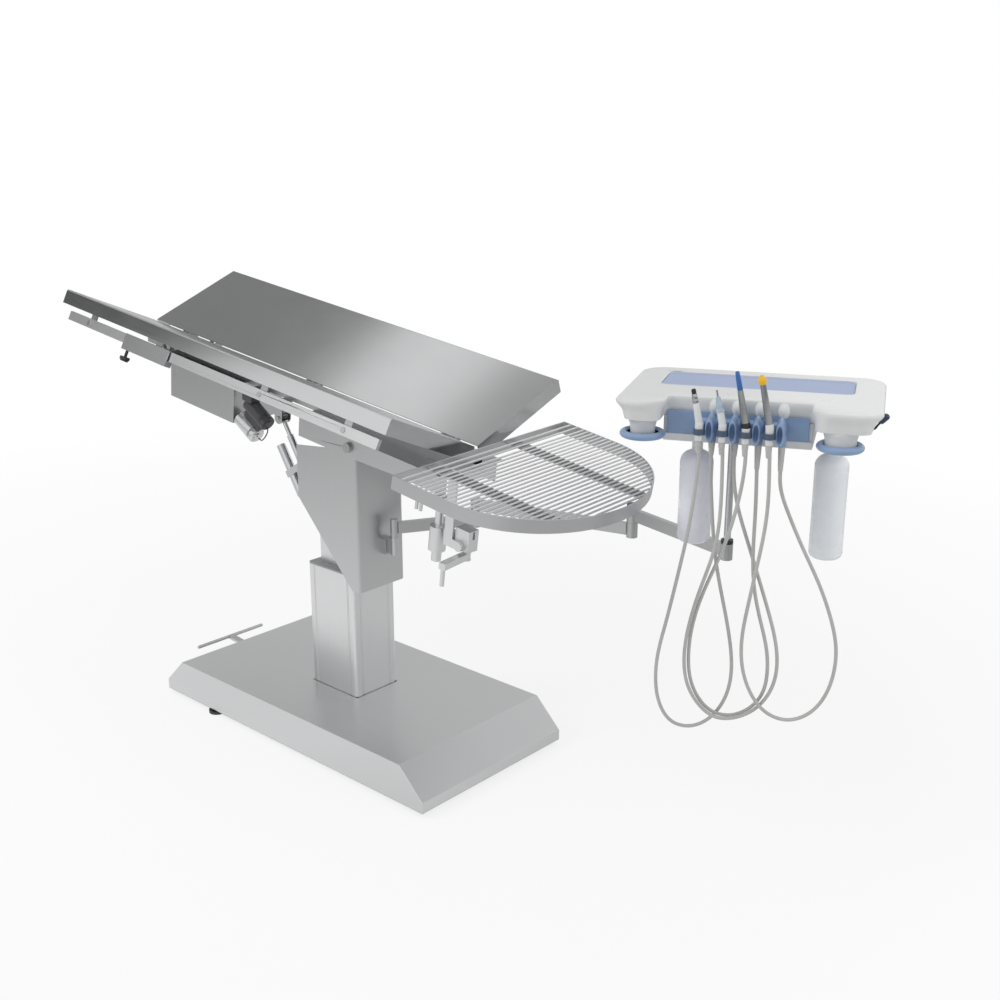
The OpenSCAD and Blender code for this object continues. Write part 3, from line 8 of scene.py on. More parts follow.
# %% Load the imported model
import json
from math import cos, pi, radians, sin
import bpy
import numpy as np
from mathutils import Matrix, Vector


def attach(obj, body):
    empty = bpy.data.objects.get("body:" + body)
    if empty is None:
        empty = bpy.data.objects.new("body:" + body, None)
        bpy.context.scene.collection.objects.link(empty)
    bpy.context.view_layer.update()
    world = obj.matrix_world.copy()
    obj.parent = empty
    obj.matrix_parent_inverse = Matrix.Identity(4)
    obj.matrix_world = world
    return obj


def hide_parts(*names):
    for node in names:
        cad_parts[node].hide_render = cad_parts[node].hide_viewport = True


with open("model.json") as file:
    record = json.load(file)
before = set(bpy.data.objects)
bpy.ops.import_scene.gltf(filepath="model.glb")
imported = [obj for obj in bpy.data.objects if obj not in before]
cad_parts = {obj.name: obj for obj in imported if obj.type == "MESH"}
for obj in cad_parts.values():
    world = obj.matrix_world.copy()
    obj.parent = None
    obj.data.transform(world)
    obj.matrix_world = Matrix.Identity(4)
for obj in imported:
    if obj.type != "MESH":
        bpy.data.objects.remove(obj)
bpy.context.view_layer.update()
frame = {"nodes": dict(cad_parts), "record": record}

slot_of = {part["node"]: part["material_slot"] for part in frame["record"]["subparts"]}

# %% [markdown]
# ## Camera
# The picture is taken from in front of the table's round end, a little above the top. The lens is
# slightly long. The place and the angles come from the outline of the table and of its base.

# %% Camera
camera_data = bpy.data.cameras.new("camera")
camera_data.lens = 46.1
camera_data.sensor_width = 36.0
camera = bpy.data.objects.new("camera", camera_data)
camera.location = (2.4546, -2.1270, 1.6146)
camera.rotation_euler = (radians(72.97), 0.0, radians(42.02))
bpy.context.scene.collection.objects.link(camera)
bpy.context.scene.camera = camera
print("camera at", tuple(round(v, 3) for v in camera.location))

# %% [markdown]
# ## The unit's own axes
# Everything on the instrument unit is measured from its post in millimetres: x along the front of
# the tray, y towards its back, z up from the floor. One turn and one shift bring such a point to
# the table's frame, so a piece can be drawn square and still stand on its arm.

# %% From the unit to the table
POST = np.array([1013.76, 232.202])
UNIT_TURN = radians(25.2)


def unit_to_table(points):
    """Unit millimetres to table metres: x' = X + x cos a - y sin a, y' = Y + x sin a + y cos a, z' = z."""
    p = np.asarray(points, float)
    x = POST[0] + p[..., 0] * cos(UNIT_TURN) - p[..., 1] * sin(UNIT_TURN)
    y = POST[1] + p[..., 0] * sin(UNIT_TURN) + p[..., 1] * cos(UNIT_TURN)
    return np.stack([x, y, p[..., 2]], -1) / 1000.0


print("post stands at", unit_to_table([0, 0, 643.3]).round(4))

# %% [markdown]
# ## Mesh helpers
# A grid of points becomes a skin: each point joins its neighbour in the row and in the next row.
# The rows close on themselves like hoops, and flat lids close the two ends. All index work is done
# on whole arrays.

# %% Grid of points to a mesh
def hoop_faces(rows, columns, first=0):
    """Quads of a grid whose rows are hoops: corners (v, u), (v, u+1), (v+1, u+1), (v+1, u)."""
    v, u = np.meshgrid(np.arange(rows - 1), np.arange(columns), indexing="ij")
    a = v * columns + u
    b = v * columns + (u + 1) % columns
    return (first + np.stack([a, b, b + columns, a + columns], -1)).reshape(-1, 4)


def closed_skin(grid, first=0):
    """Vertices, faces and row numbers of a hooped grid with a lid on its first and last row."""
    rows, columns = grid.shape[:2]
    quads = hoop_faces(rows, columns, first)
    low = list(range(first + columns - 1, first - 1, -1))
    high = list(range(first + (rows - 1) * columns, first + rows * columns))
    row_of = np.append(np.repeat(np.arange(rows - 1), columns), [0, rows - 2])
    return grid.reshape(-1, 3), quads.tolist() + [low, high], row_of


def piece(name, skins, finishes, body, bands=None, crease=35.0):
    """Joins skins into one mesh in table metres; bands gives each skin's finish number, or one per row."""
    verts, faces, mats = [], [], []
    for k, grid in enumerate(skins):
        v, f, row_of = closed_skin(np.asarray(grid, float), sum(map(len, verts)))
        verts.append(v)
        faces += f
        mats.append(np.broadcast_to(0 if bands is None else bands[k], len(grid))[row_of])
    mesh = bpy.data.meshes.new(name)
    mesh.from_pydata(np.concatenate(verts).tolist(), [], faces)
    for finish in finishes:
        mesh.materials.append(finish)
    mesh.polygons.foreach_set("material_index", np.concatenate(mats).astype(np.int32))
    mesh.polygons.foreach_set("use_smooth", np.ones(len(faces), bool))
    mesh.set_sharp_from_angle(angle=radians(crease))
    obj = bpy.data.objects.new(name, mesh)
    bpy.context.scene.collection.objects.link(obj)
    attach(obj, body)
    print(name, "faces:", len(faces))
    return obj


# %% [markdown]
# ## Turned shapes and tubes
# Most small parts here are turned or moulded round: a profile of radius against height spun about
# an upright line. A hose is a circle carried along a path. Both are one formula on a grid.

# %% Lathe and tube
def spun(profile, centre, sides=40, lean=0.0):
    """Radius r at height h: (r cos t, r sin t, h), leaned in the x-z plane, then moved to centre."""
    h, r = np.asarray(profile, float).T
    t = np.arange(sides) / sides * 2 * pi
    x = r[:, None] * np.cos(t)
    y = r[:, None] * np.sin(t)
    z = np.repeat(h[:, None], sides, 1)
    a = radians(lean)
    grid = np.stack([x * cos(a) - z * sin(a), y, x * sin(a) + z * cos(a)], -1)
    return grid + np.asarray(centre, float)


def smooth_path(points, step):
    """Natural cubic spline through the points against chord length, then points an even step apart."""
    p = np.asarray(points, float)
    s = np.append(0, np.cumsum(np.linalg.norm(np.diff(p, axis=0), axis=1)))
    h = np.diff(s)[:, None]
    n = len(p)
    system = np.eye(n)
    rows = np.arange(1, n - 1)
    system[rows, rows - 1] = h[:-1, 0]
    system[rows, rows] = 2 * (h[:-1, 0] + h[1:, 0])
    system[rows, rows + 1] = h[1:, 0]
    slopes = np.diff(p, axis=0) / h
    right = np.zeros_like(p)
    right[1:-1] = 6 * np.diff(slopes, axis=0)
    m = np.linalg.solve(system, right)
    q = np.linspace(0, s[-1], 20 * n)
    k = np.clip(np.searchsorted(s, q, side="right") - 1, 0, n - 2)
    a, b, w = (s[k + 1] - q)[:, None], (q - s[k])[:, None], h[k]
    fine = (m[k] * a**3 + m[k + 1] * b**3) / (6 * w)
    fine += (p[k] / w - m[k] * w / 6) * a + (p[k + 1] / w - m[k + 1] * w / 6) * b
    run = np.append(0, np.cumsum(np.linalg.norm(np.diff(fine, axis=0), axis=1)))
    even = np.linspace(0, run[-1], max(2, int(run[-1] / step)))
    return np.stack([np.interp(even, run, fine[:, i]) for i in range(3)], -1)


def tube(path, radius, sides=14):
    """Circles square to the path: centre + r (cos t A + sin t B), with A and B square to the way."""
    way = np.gradient(path, axis=0)
    way /= np.linalg.norm(way, axis=1)[:, None]
    a = np.cross(way, [0.0, 1.0, 0.0])
    a /= np.linalg.norm(a, axis=1)[:, None]
    b = np.cross(way, a)
    t = np.arange(sides) / sides * 2 * pi
    r = np.broadcast_to(np.asarray(radius, float), len(path))[:, None, None]
    return path[:, None] + r * (np.cos(t)[:, None] * a[:, None] + np.sin(t)[:, None] * b[:, None])


# %% [markdown]
# ## Finish helpers
# A finish is a small graph of shader nodes. Two helpers keep each graph short: one starts a
# material with its main shader, the other adds a node, sets its sockets and joins its inputs.

# %% Material helpers
def finish(name):
    """A new material with a Principled shader at its output."""
    material = bpy.data.materials.new(name)
    material.use_nodes = True
    tree = material.node_tree
    tree.nodes.clear()
    out = tree.nodes.new("ShaderNodeOutputMaterial")
    shader = tree.nodes.new("ShaderNodeBsdfPrincipled")
    tree.links.new(shader.outputs[0], out.inputs["Surface"])
    return material, tree, shader


def add(tree, kind, inputs=(), **settings):
    """A node of that kind; inputs are (socket, value or output) pairs."""
    node = tree.nodes.new("ShaderNode" + kind)
    for key, value in settings.items():
        setattr(node, key, value)
    for socket, value in inputs:
        if isinstance(value, bpy.types.NodeSocket):
            tree.links.new(value, node.inputs[socket])
        else:
            node.inputs[socket].default_value = value
    return node


def noise(tree, grain, turn=(0, 0, 0), detail=3.0):
    """Noise whose grains are as long as grain says along three turned axes, in metres."""
    place = add(tree, "TexCoord")
    stretch = add(tree, "Mapping", [("Vector", place.outputs["Object"]), ("Rotation", turn),
                                    ("Scale", grain)], vector_type="TEXTURE")
    return add(tree, "TexNoise", [("Vector", stretch.outputs[0]), ("Scale", 1.0),
                                  ("Detail", detail), ("Roughness", 0.6)]).outputs["Fac"]


def spread(tree, value, low, high, start=0.25, end=0.75):
    """Maps start..end to low..high."""
    return add(tree, "MapRange", [("Value", value), ("From Min", start), ("From Max", end),
                                  ("To Min", low), ("To Max", high)]).outputs[0]


def tint(tree, shader, colour, value, depth):
    """Base colour that varies by the share depth as value goes from 0.25 to 0.75."""
    dark = [c * (1 - depth) for c in colour] + [1]
    light = [min(1, c * (1 + depth)) for c in colour] + [1]
    mix = add(tree, "Mix", data_type="RGBA")
    tree.links.new(spread(tree, value, 0, 1), mix.inputs["Factor"])
    mix.inputs["A"].default_value = dark
    mix.inputs["B"].default_value = light
    tree.links.new(mix.outputs["Result"], shader.inputs["Base Color"])


def bump(tree, shader, value, height):
    """Relief of that height in metres."""
    node = add(tree, "Bump", [("Height", value), ("Distance", height), ("Strength", 1.0)])
    tree.links.new(node.outputs[0], shader.inputs["Normal"])


# %% [markdown]
# ## Brushed steel
# Stainless sheet is ground with a belt, so it carries fine scratches that all run one way. They
# blur what it mirrors across their run. Here a noise is drawn out along the run of the belt, a few
# tenths of a millimetre wide. It moves the colour and the gloss a little and gives a slight
# relief. On end faces the scratches would be seen end on, so a second run takes over there. A
# broad, weak cloud of noise stands for wiping marks.

# %% Brushed steel
def brushed(name, colour, run, ends, turn=(0, 0, 0), rough=0.3, depth=0.03, relief=6e-7):
    """Steel with scratches along axis run, and along axis ends on the faces that run meets end on."""
    material, tree, shader = finish(name)
    fine, length = 0.0009, 0.16
    grains = [tuple(length if i == k else fine for i in range(3)) for k in (run, ends)]
    streaks = [noise(tree, grain, turn) for grain in grains]
    facing = add(tree, "TexCoord").outputs["Normal"]
    parts = add(tree, "SeparateXYZ", [("Vector", facing)])
    size = add(tree, "Math", [(0, parts.outputs[run])], operation="ABSOLUTE").outputs[0]
    end_on = add(tree, "Math", [(0, size), (1, 0.7)], operation="GREATER_THAN").outputs[0]
    pick = add(tree, "Mix", data_type="FLOAT")
    for socket, value in (("Factor", end_on), ("A", streaks[0]), ("B", streaks[1])):
        tree.links.new(value, pick.inputs[socket])
    streak = pick.outputs["Result"]
    cloud = noise(tree, (0.11, 0.11, 0.11), turn, 2.0)
    tint(tree, shader, colour, streak, depth)
    both = add(tree, "Math", [(0, spread(tree, streak, -0.03, 0.03)),
                              (1, spread(tree, cloud, rough - 0.012, rough + 0.012))], operation="ADD")
    tree.links.new(both.outputs[0], shader.inputs["Roughness"])
    shader.inputs["Metallic"].default_value = 1.0
    bump(tree, shader, streak, relief)
    return material


TOP_TILT = (0, radians(7.1), 0)
steels = {
    "steel_top": brushed("brushed_top_sheet", (0.62, 0.625, 0.63), 0, 1, TOP_TILT, 0.19, 0.02, 4e-7),
    "steel_base": brushed("brushed_base_sheet", (0.64, 0.645, 0.65), 0, 1, rough=0.33),
    "steel": brushed("satin_steel", (0.56, 0.565, 0.57), 2, 0, rough=0.34),
    "steel_light": brushed("light_satin_steel", (0.74, 0.745, 0.75), 2, 0, rough=0.36),
    "arm_metal": brushed("satin_arm_tube", (0.50, 0.505, 0.51), 0, 1, (0, 0, radians(25)), 0.36),
    "zinc": brushed("turned_steel", (0.46, 0.46, 0.455), 1, 0, rough=0.38, depth=0.08),
    "motor_silver": brushed("drawn_aluminium", (0.66, 0.67, 0.68), 0, 1, (0, radians(49), 0), 0.33),
}
print("steel finishes:", len(steels))

# %% [markdown]
# ## Chrome, coated metal, plastic and rubber
# Chrome is almost a mirror with faint wear. Coated parts have the small orange-peel relief of
# paint. Moulded plastic is even in colour with a soft sheen and a very fine grain, and rubber is
# duller. Each one still gets some change in colour and gloss, because nothing real is quite even.

# %% Other finishes
def coated(name, colour, rough, metal=0.0, grain=0.004, relief=1e-5, depth=0.06, coat=0.0):
    """An even colour with a fine grain in its relief and a broad change in its gloss."""
    material, tree, shader = finish(name)
    fine = noise(tree, (grain, grain, grain), detail=4.0)
    broad = noise(tree, (0.06, 0.06, 0.06), detail=2.0)
    tint(tree, shader, colour, broad, depth)
    gloss = add(tree, "Math", [(0, spread(tree, fine, -0.03, 0.03)),
                               (1, spread(tree, broad, rough - 0.05, rough + 0.05))], operation="ADD")
    tree.links.new(gloss.outputs[0], shader.inputs["Roughness"])
    shader.inputs["Metallic"].default_value = metal
    shader.inputs["Coat Weight"].default_value = coat
    shader.inputs["Coat Roughness"].default_value = 0.1
    bump(tree, shader, fine, relief)
    return material


plain = {
    "dark_steel": coated("dark_coated_steel", (0.06, 0.06, 0.065), 0.45, 0.6),
    "chrome": coated("hard_chrome", (0.62, 0.63, 0.64), 0.12, 1.0, 0.0015, 1e-6, 0.04),
    "motor_grey": coated("motor_case_coating", (0.10, 0.10, 0.105), 0.42, 0.5),
    "grey_plastic": coated("guide_plastic", (0.30, 0.30, 0.31), 0.5),
    "black_plastic": coated("black_moulding", (0.018, 0.018, 0.02), 0.4),
    "white_plastic": coated("white_moulding", (0.72, 0.73, 0.73), 0.32, coat=0.3, depth=0.02),
    "blue_mat": coated("soft_blue_mat", (0.36, 0.43, 0.62), 0.5, 0, 0.0012, 3e-5, 0.04),
    "blue_plastic": coated("grey_blue_moulding", (0.24, 0.35, 0.54), 0.36, coat=0.2),
    "dark_blue_plastic": coated("dark_blue_knob", (0.012, 0.03, 0.07), 0.25, coat=0.5),
    "instrument_metal": coated("handpiece_metal", (0.33, 0.34, 0.345), 0.3, 1.0, 0.002, 2e-6, 0.06),
    "grey_rubber": coated("light_grey_rubber", (0.52, 0.52, 0.515), 0.6, 0, 0.0012, 3e-5, 0.05),
    "hose_grey": coated("light_grey_hose", (0.50, 0.50, 0.49), 0.42, 0, 0.0015, 1e-5, 0.05),
}
print("other finishes:", len(plain))

# %% [markdown]
# ## Milky plastic
# The bottles are blown from a milky plastic. Light goes a few millimetres into it and comes out
# again close by, which softens the shading. One instrument has a clear tip, and there a share of
# the light passes straight through.

# %% Milky plastic
def milky(name, colour, through, deep=0.0):
    """Pale plastic: the share through of the light passes, the share deep is spread inside."""
    material, tree, shader = finish(name)
    broad = noise(tree, (0.05, 0.05, 0.05), detail=2.0)
    tint(tree, shader, colour, broad, 0.02)
    tree.links.new(spread(tree, broad, 0.22, 0.32), shader.inputs["Roughness"])
    shader.inputs["Transmission Weight"].default_value = through
    shader.inputs["IOR"].default_value = 1.4
    shader.inputs["Subsurface Weight"].default_value = deep
    shader.inputs["Subsurface Radius"].default_value = (0.008, 0.008, 0.008)
    shader.inputs["Coat Weight"].default_value = 0.25
    return material


plain["clear_plastic"] = milky("milky_bottle_plastic", (0.84, 0.87, 0.90), 0.0, 0.4)
lilac_bottle = milky("milky_lilac_plastic", (0.79, 0.79, 0.86), 0.0, 0.4)
finishes = {**steels, **plain}
print("finishes in all:", len(finishes) + 1)

# %% [markdown]
# ## Finishes on the model's own pieces
# Every shown piece from the model takes the finish of its slot. The sheet is folded, not cut from
# a block, so its edges catch the light. The triangles are joined, edges under 30 degrees are
# shaded smooth, and a narrow rounding is added to the folded sheets. The mesh itself stays as it is.

# %% Smooth shading for the model's pieces
def joined_and_smooth():
    """Node group: merge equal points, shade smooth, and keep edges over 30 degrees sharp."""
    group = bpy.data.node_groups.new("joined_and_smooth", "GeometryNodeTree")
    group.interface.new_socket("Geometry", in_out="INPUT", socket_type="NodeSocketGeometry")
    group.interface.new_socket("Geometry", in_out="OUTPUT", socket_type="NodeSocketGeometry")
    new, link = group.nodes.new, group.links.new
    start, end = new("NodeGroupInput"), new("NodeGroupOutput")
    merge = new("GeometryNodeMergeByDistance")
    merge.inputs["Distance"].default_value = 1e-5
    faces, edges = new("GeometryNodeSetShadeSmooth"), new("GeometryNodeSetShadeSmooth")
    edges.domain = "EDGE"
    edges.inputs["Shade Smooth"].default_value = False
    angle, wide = new("GeometryNodeInputMeshEdgeAngle"), new("FunctionNodeCompare")
    wide.operation = "GREATER_THAN"
    wide.inputs[1].default_value = radians(30)
    link(start.outputs[0], merge.inputs["Geometry"])
    link(merge.outputs[0], faces.inputs["Geometry"])
    link(faces.outputs[0], edges.inputs["Geometry"])
    link(angle.outputs["Unsigned Angle"], wide.inputs[0])
    link(wide.outputs[0], edges.inputs["Selection"])
    link(edges.outputs[0], end.inputs[0])
    return group


smoothing = joined_and_smooth()
folded = {"base_cover": 0.0016, "head_housing": 0.004, "near_panel": 0.001, "far_panel": 0.001,
          "column_outer_tube": 0.003, "column_inner_tube": 0.003, "control_box": 0.001,
          "accessory_rail": 0.0008, "rail_clamp": 0.0008, "grid_rim": 0.0006, "unit_housing": 0.003,
          "unit_front_panel": 0.002, "tilt_frame": 0.0008, "arm_lower": 0.0008,
          "arm_middle": 0.0008, "arm_upper": 0.0008, "grid_clamp_lever": 0.0015}
for node, obj in frame["nodes"].items():
    obj.data.materials.clear()
    obj.data.materials.append(finishes[slot_of[node]])
    obj.modifiers.new("join", "NODES").node_group = smoothing
    if node in folded:
        bevel = obj.modifiers.new("fold", "BEVEL")
        bevel.width, bevel.segments = folded[node], 3
        bevel.limit_method, bevel.angle_limit = "ANGLE", radians(30)
        bevel.harden_normals = True
print("dressed nodes:", len(frame["nodes"]))

# %% [markdown]
# ## Hoses
# Four silicone hoses, 8 mm thick, hang in loops from the reliefs under the holders back up into
# the instruments. Their routes are the same points as in the model, here joined by a smooth spline
# so that no ring shows a corner. Their ends go into the relief and into the instrument.

# %% Hoses
ROUTES = {
    "hose_1": [(-35, -80, 905), (-34, -80, 870), (-29, -80, 800), (-13, -80, 665), (10, -80, 560),
               (27, -81, 480), (34, -82, 415), (28, -80, 358), (10, -78, 312), (-19, -82, 278),
               (-56, -88, 263), (-92, -94, 272), (-120, -97, 310), (-132, -100, 368),
               (-130, -102, 432), (-115, -104, 512), (-93, -104, 625), (-74, -104, 735),
               (-61, -104, 850), (-58, -104, 900), (-58, -104, 940)],
    "hose_2": [(14, -80, 905), (15, -80, 870), (26, -80, 800), (48, -80, 730), (76, -80, 650),
               (105, -81, 565), (127, -83, 488), (133, -85, 430), (122, -88, 374), (93, -94, 331),
               (50, -99, 305), (6, -103, 302), (-33, -104, 329), (-60, -107, 378),
               (-69, -108, 437), (-63, -108, 510), (-41, -108, 605), (-14, -107, 705),
               (-6, -105, 830), (-9, -104, 940)],
    "hose_3": [(63, -80, 880), (64, -80, 850), (66, -84, 770), (67, -90, 690), (75, -91, 610),
               (93, -90, 535), (109, -88, 470), (113, -87, 415), (103, -83, 360), (77, -82, 323),
               (39, -85, 303), (0, -89, 307), (-34, -93, 338), (-55, -96, 387), (-61, -97, 442),
               (-56, -97, 510), (-35, -98, 595), (-1, -101, 690), (28, -104, 800),
               (40, -104, 900), (40, -104, 940)],
    "hose_4": [(112, -80, 880), (114, -80, 850), (134, -80, 790), (169, -80, 715),
               (207, -80, 640), (239, -80, 560), (255, -82, 495), (255, -84, 436),
               (240, -87, 378), (208, -91, 333), (163, -96, 314), (120, -100, 326),
               (84, -103, 366), (61, -104, 426), (55, -104, 490), (63, -104, 570),
               (78, -104, 670), (92, -104, 790), (91, -104, 890), (89, -104, 940)],
}
HOSE_R = 4.0
for name, route in ROUTES.items():
    path = smooth_path(route, 6.0)
    skin = unit_to_table(tube(path, HOSE_R))
    hose = piece(name + "_tube", [skin], [plain["hose_grey"]], "unit")
    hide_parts(name)

# %% [markdown]
# ## Strain reliefs
# Where a hose leaves its holder, a rubber sleeve keeps it from kinking. It tapers down to the hose
# and has shallow grooves that let it bend. A sine along its height makes them.

# %% Strain reliefs
HOLDERS = -60 + 49 * np.arange(4)
RELIEF_LOW = (905, 905, 880, 880)
reliefs = []
for x, low in zip(HOLDERS + 25, RELIEF_LOW):
    h = np.linspace(low, 933, 50)
    share = (h - low) / (933 - low)
    r = 5.5 + 2.5 * share + 0.35 * np.cos((h - low) / 5.0 * 2 * pi) * (share < 0.8) - 0.35
    reliefs.append(unit_to_table(spun(np.stack([h, r], -1), (x, -80, 0), 32)))
relief_sleeves = piece("relief_sleeves", reliefs, [plain["grey_rubber"]], "unit")
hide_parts("hose_strain_reliefs")

# %% [markdown]
# ## Tray shell
# The tray is one moulding: a rounded slab that swells towards its rim, draws in below and runs out
# into two lobes at the front. Its outline is a run of quarter circles and straights. The same
# outline, drawn in by a changing distance at each height, gives the skin. Inside the rim the
# outline changes step by step into the rounded rectangle of the mat's pocket. Straights are cut
# into even steps so that the rows match point for point.

# %% Outline of the tray
UNIT_MID, TRAY_W, TRAY_BACK, TRAY_TOP = 32, 562, 300, 1015


def quarter(b, before, after, r, steps):
    """Quarter circle in the corner b: centre - r (A cos t + B sin t), A and B along the two straights."""
    d1 = (before - b) / np.linalg.norm(before - b)
    d2 = (after - b) / np.linalg.norm(after - b)
    t = np.linspace(0, pi / 2, steps)[:, None]
    return b + r * (d1 + d2) - r * (d2 * np.cos(t) + d1 * np.sin(t))


def rounded_run(corners, radii, steps, cuts):
    """Corner arcs joined by straights that are cut into the given numbers of steps."""
    c = np.asarray(corners, float)
    arcs = [quarter(c[i], c[i - 1], c[(i + 1) % len(c)], radii[i], steps) for i in range(len(c))]
    run = []
    for i, arc in enumerate(arcs):
        start, goal = arc[-1], arcs[(i + 1) % len(arcs)][0]
        run += [arc, start + (goal - start) * np.linspace(0, 1, cuts[i] + 1)[1:-1, None]]
    return np.concatenate(run)


def tray_run(inset):
    """Outline drawn in by inset; the lobes draw in by 0.4 of it at their front and inner sides."""
    half, back = TRAY_W / 2 - inset, TRAY_BACK - inset
    front, notch = -105 + 0.4 * inset, -20 + 0.2 * inset
    left, right = -172 - 0.4 * inset, 136 + 0.4 * inset
    corners = [(half, back), (-half, back), (-half, front), (left, front), (left, notch),
               (right, notch), (right, front), (half, front)]
    radii = [60 - inset] * 2 + [46 - inset] * 2 + [10 + 0.2 * inset] * 2 + [46 - inset] * 2
    return rounded_run(corners, radii, 13, [24, 24, 4, 6, 48, 6, 4, 24])


count = len(tray_run(0))
print("points round the tray:", count)

# %% [markdown]
# The pocket's outline gets one point for each point of the tray's. Each is the nearest point of
# the pocket, evened out along the way, so that no two rows cross.

# %% Skin of the tray
MAT_W, MAT_BACK, MAT_D, MAT_CORNER, POCKET = 430, 262, 150, 18, 8


def pocket_run(targets, grow=0.0):
    """Pocket's edge: distance along it is 0.8 of the nearest point's and 0.2 of an even share."""
    half, back, front = MAT_W / 2 + grow, MAT_BACK + grow, MAT_BACK - MAT_D - grow
    corners = [(half, back), (-half, back), (-half, front), (half, front)]
    edge = rounded_run(corners, [MAT_CORNER + grow] * 4, 9, [90, 40, 90, 40])
    loop = np.vstack([edge, edge[:1]])
    run = np.append(0, np.cumsum(np.linalg.norm(np.diff(loop, axis=0), axis=1)))
    nearest = np.linalg.norm(targets[:, None] - edge[None], axis=2).argmin(1)
    s = run[nearest]
    s = np.where((np.arange(len(s)) > len(s) // 2) & (s < run[-1] * 0.25), s + run[-1], s)
    s = np.where((np.arange(len(s)) < len(s) // 4) & (s > run[-1] * 0.75), s - run[-1], s)
    even = np.linspace(s[0], s[0] + run[-1], len(s), endpoint=False)
    s = (0.8 * np.maximum.accumulate(s) + 0.2 * even) % run[-1]
    return np.stack([np.interp(s, run, loop[:, i]) for i in range(2)], -1)


depths = np.array([[22, 43], [20, 37], [18, 31], [16.5, 26], [13.5, 21], [9, 17], [4.5, 13], [1.5, 10],
                   [0, 7.5], [0, 5.5], [0.9, 3.2], [2.4, 1.4], [4.6, 0.4], [8, 0.0]])
rows = [np.column_stack([tray_run(i), np.full(count, TRAY_TOP - d)]) for i, d in depths]
rim, lip = rows[-1][:, :2], pocket_run(rows[-1][:, :2], 4.0)
for share, drop in ((0.25, 0.3), (0.5, 0.9), (0.75, 1.6), (0.93, 1.9), (1.0, 2.2)):
    rows.append(np.column_stack([rim + (lip - rim) * share, np.full(count, TRAY_TOP - drop)]))
for grow, drop in ((0.5, 3.2), (0.0, POCKET)):
    rows.append(np.column_stack([pocket_run(rim, grow), np.full(count, TRAY_TOP - drop)]))
shell = np.stack(rows)
shell[..., 0] += UNIT_MID
print("tray rows:", len(rows))

# %% [markdown]
# Below each lobe the moulding narrows to a round stub that carries the ring handle, and a small
# boss under the slab seats the side lever. Between the lobes, four rounded ribs rise over the
# holders. The ribs are lumps whose half width, depth and height follow three cosines.

# %% Stubs, ribs and boss, joined to the tray
STUBS, STUB_Y = ((-189, 27), (230, 33)), -58
stubs = []
for x, r in STUBS:
    profile = [(930, r - 1.5), (931.5, r), (946, r), (952, r + 0.4), (958, r + 1.6), (964, r + 3.6),
               (969, r + 6), (974, 38)]
    stubs.append(unit_to_table(spun(profile, (x, STUB_Y, 0), 56)))


def rib(x, y, z, half_w, half_d, half_h):
    """Lump: (a cos v cos u, b cos v sin u, c sin v) with the powers of cosine at 0.8 for a fuller flank."""
    v = np.linspace(-pi / 2 + 0.02, pi / 2 - 0.02, 25)
    u = np.arange(32) / 32 * 2 * pi
    cv = np.cos(v)[:, None] ** 0.8
    lump = np.stack([half_w * cv * np.sign(np.cos(u)) * np.abs(np.cos(u)) ** 0.8,
                     half_d * cv * np.sign(np.sin(u)) * np.abs(np.sin(u)) ** 0.8,
                     half_h * np.sin(v)[:, None] + 0 * u], -1)
    return lump + np.array([x, y, z])


ribs = [unit_to_table(rib(x, -14, 995, 13, 22, 18)) for x in HOLDERS + 21]
boss = unit_to_table(spun([(958, 7), (959, 8), (976, 8)], (281, -4, 0), 32))
tray = piece("tray_moulding", [unit_to_table(shell)] + stubs + ribs + [boss], [plain["white_plastic"]],
             "unit", crease=50)
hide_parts("unit_shell")

# %% [markdown]
# ## Mat
# The mat is a thin soft sheet laid in the pocket, with a raised bead round its edge. It is the
# pocket's outline drawn in step by step.

# %% Mat
flat_edge = tray_run(8.0)
mat_rows = []
mat_mid = np.array([0, MAT_BACK - MAT_D / 2])
for inward, height in ((0.4, 0.0), (0.4, 2.0), (1.2, 3.0), (3.0, 3.2), (5.0, 2.6), (7.0, 2.0), (None, 2.0)):
    edge = pocket_run(flat_edge, -(inward or 7.0))
    if inward is None:
        edge = mat_mid + (edge - mat_mid) * [0.9, 0.7]
    level = np.full(count, TRAY_TOP - POCKET + height)
    mat_rows.append(np.column_stack([edge[:, 0] + UNIT_MID, edge[:, 1], level]))
mat = piece("tray_mat", [unit_to_table(np.stack(mat_rows))], [plain["blue_mat"]], "unit")
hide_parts("unit_top_mat")

# %% [markdown]
# ## Holders
# Each holder has a body on the blue panel, a ring in which the instrument's grip sits, a socket
# for the hose and a tall oval shield with a dished front. The shield is an oval carried forward:
# it swells, turns over a rounded edge and dips back in the middle. From the rolled edge inward the
# dish is coloured a darker blue, painted shade in the hollow. Below each ring a turned connector
# joins the hose to its instrument.

# %% Holders
def blocky(y0, y1, x, z, half_w, half_h, edge=3.0, power=0.35):
    """Box with soft edges along y: a squared circle, drawn in by a quarter round at both ends."""
    t = np.linspace(0, pi / 2, 5)
    y = np.concatenate([y0 + edge * (1 - np.sin(t)), y1 - edge * (1 - np.sin(t[::-1]))])
    inward = np.concatenate([edge * (1 - np.cos(t)), edge * (1 - np.cos(t[::-1]))])
    order = np.argsort(y)
    y, inward = y[order], inward[order]
    u = np.arange(40) / 40 * 2 * pi
    cx = np.sign(np.cos(u)) * np.abs(np.cos(u)) ** power
    cz = np.sign(np.sin(u)) * np.abs(np.sin(u)) ** power
    across, down = half_w - inward[:, None], half_h - inward[:, None]
    return np.stack([x + across * cx, y[:, None] + 0 * u, z - down * cz], -1)


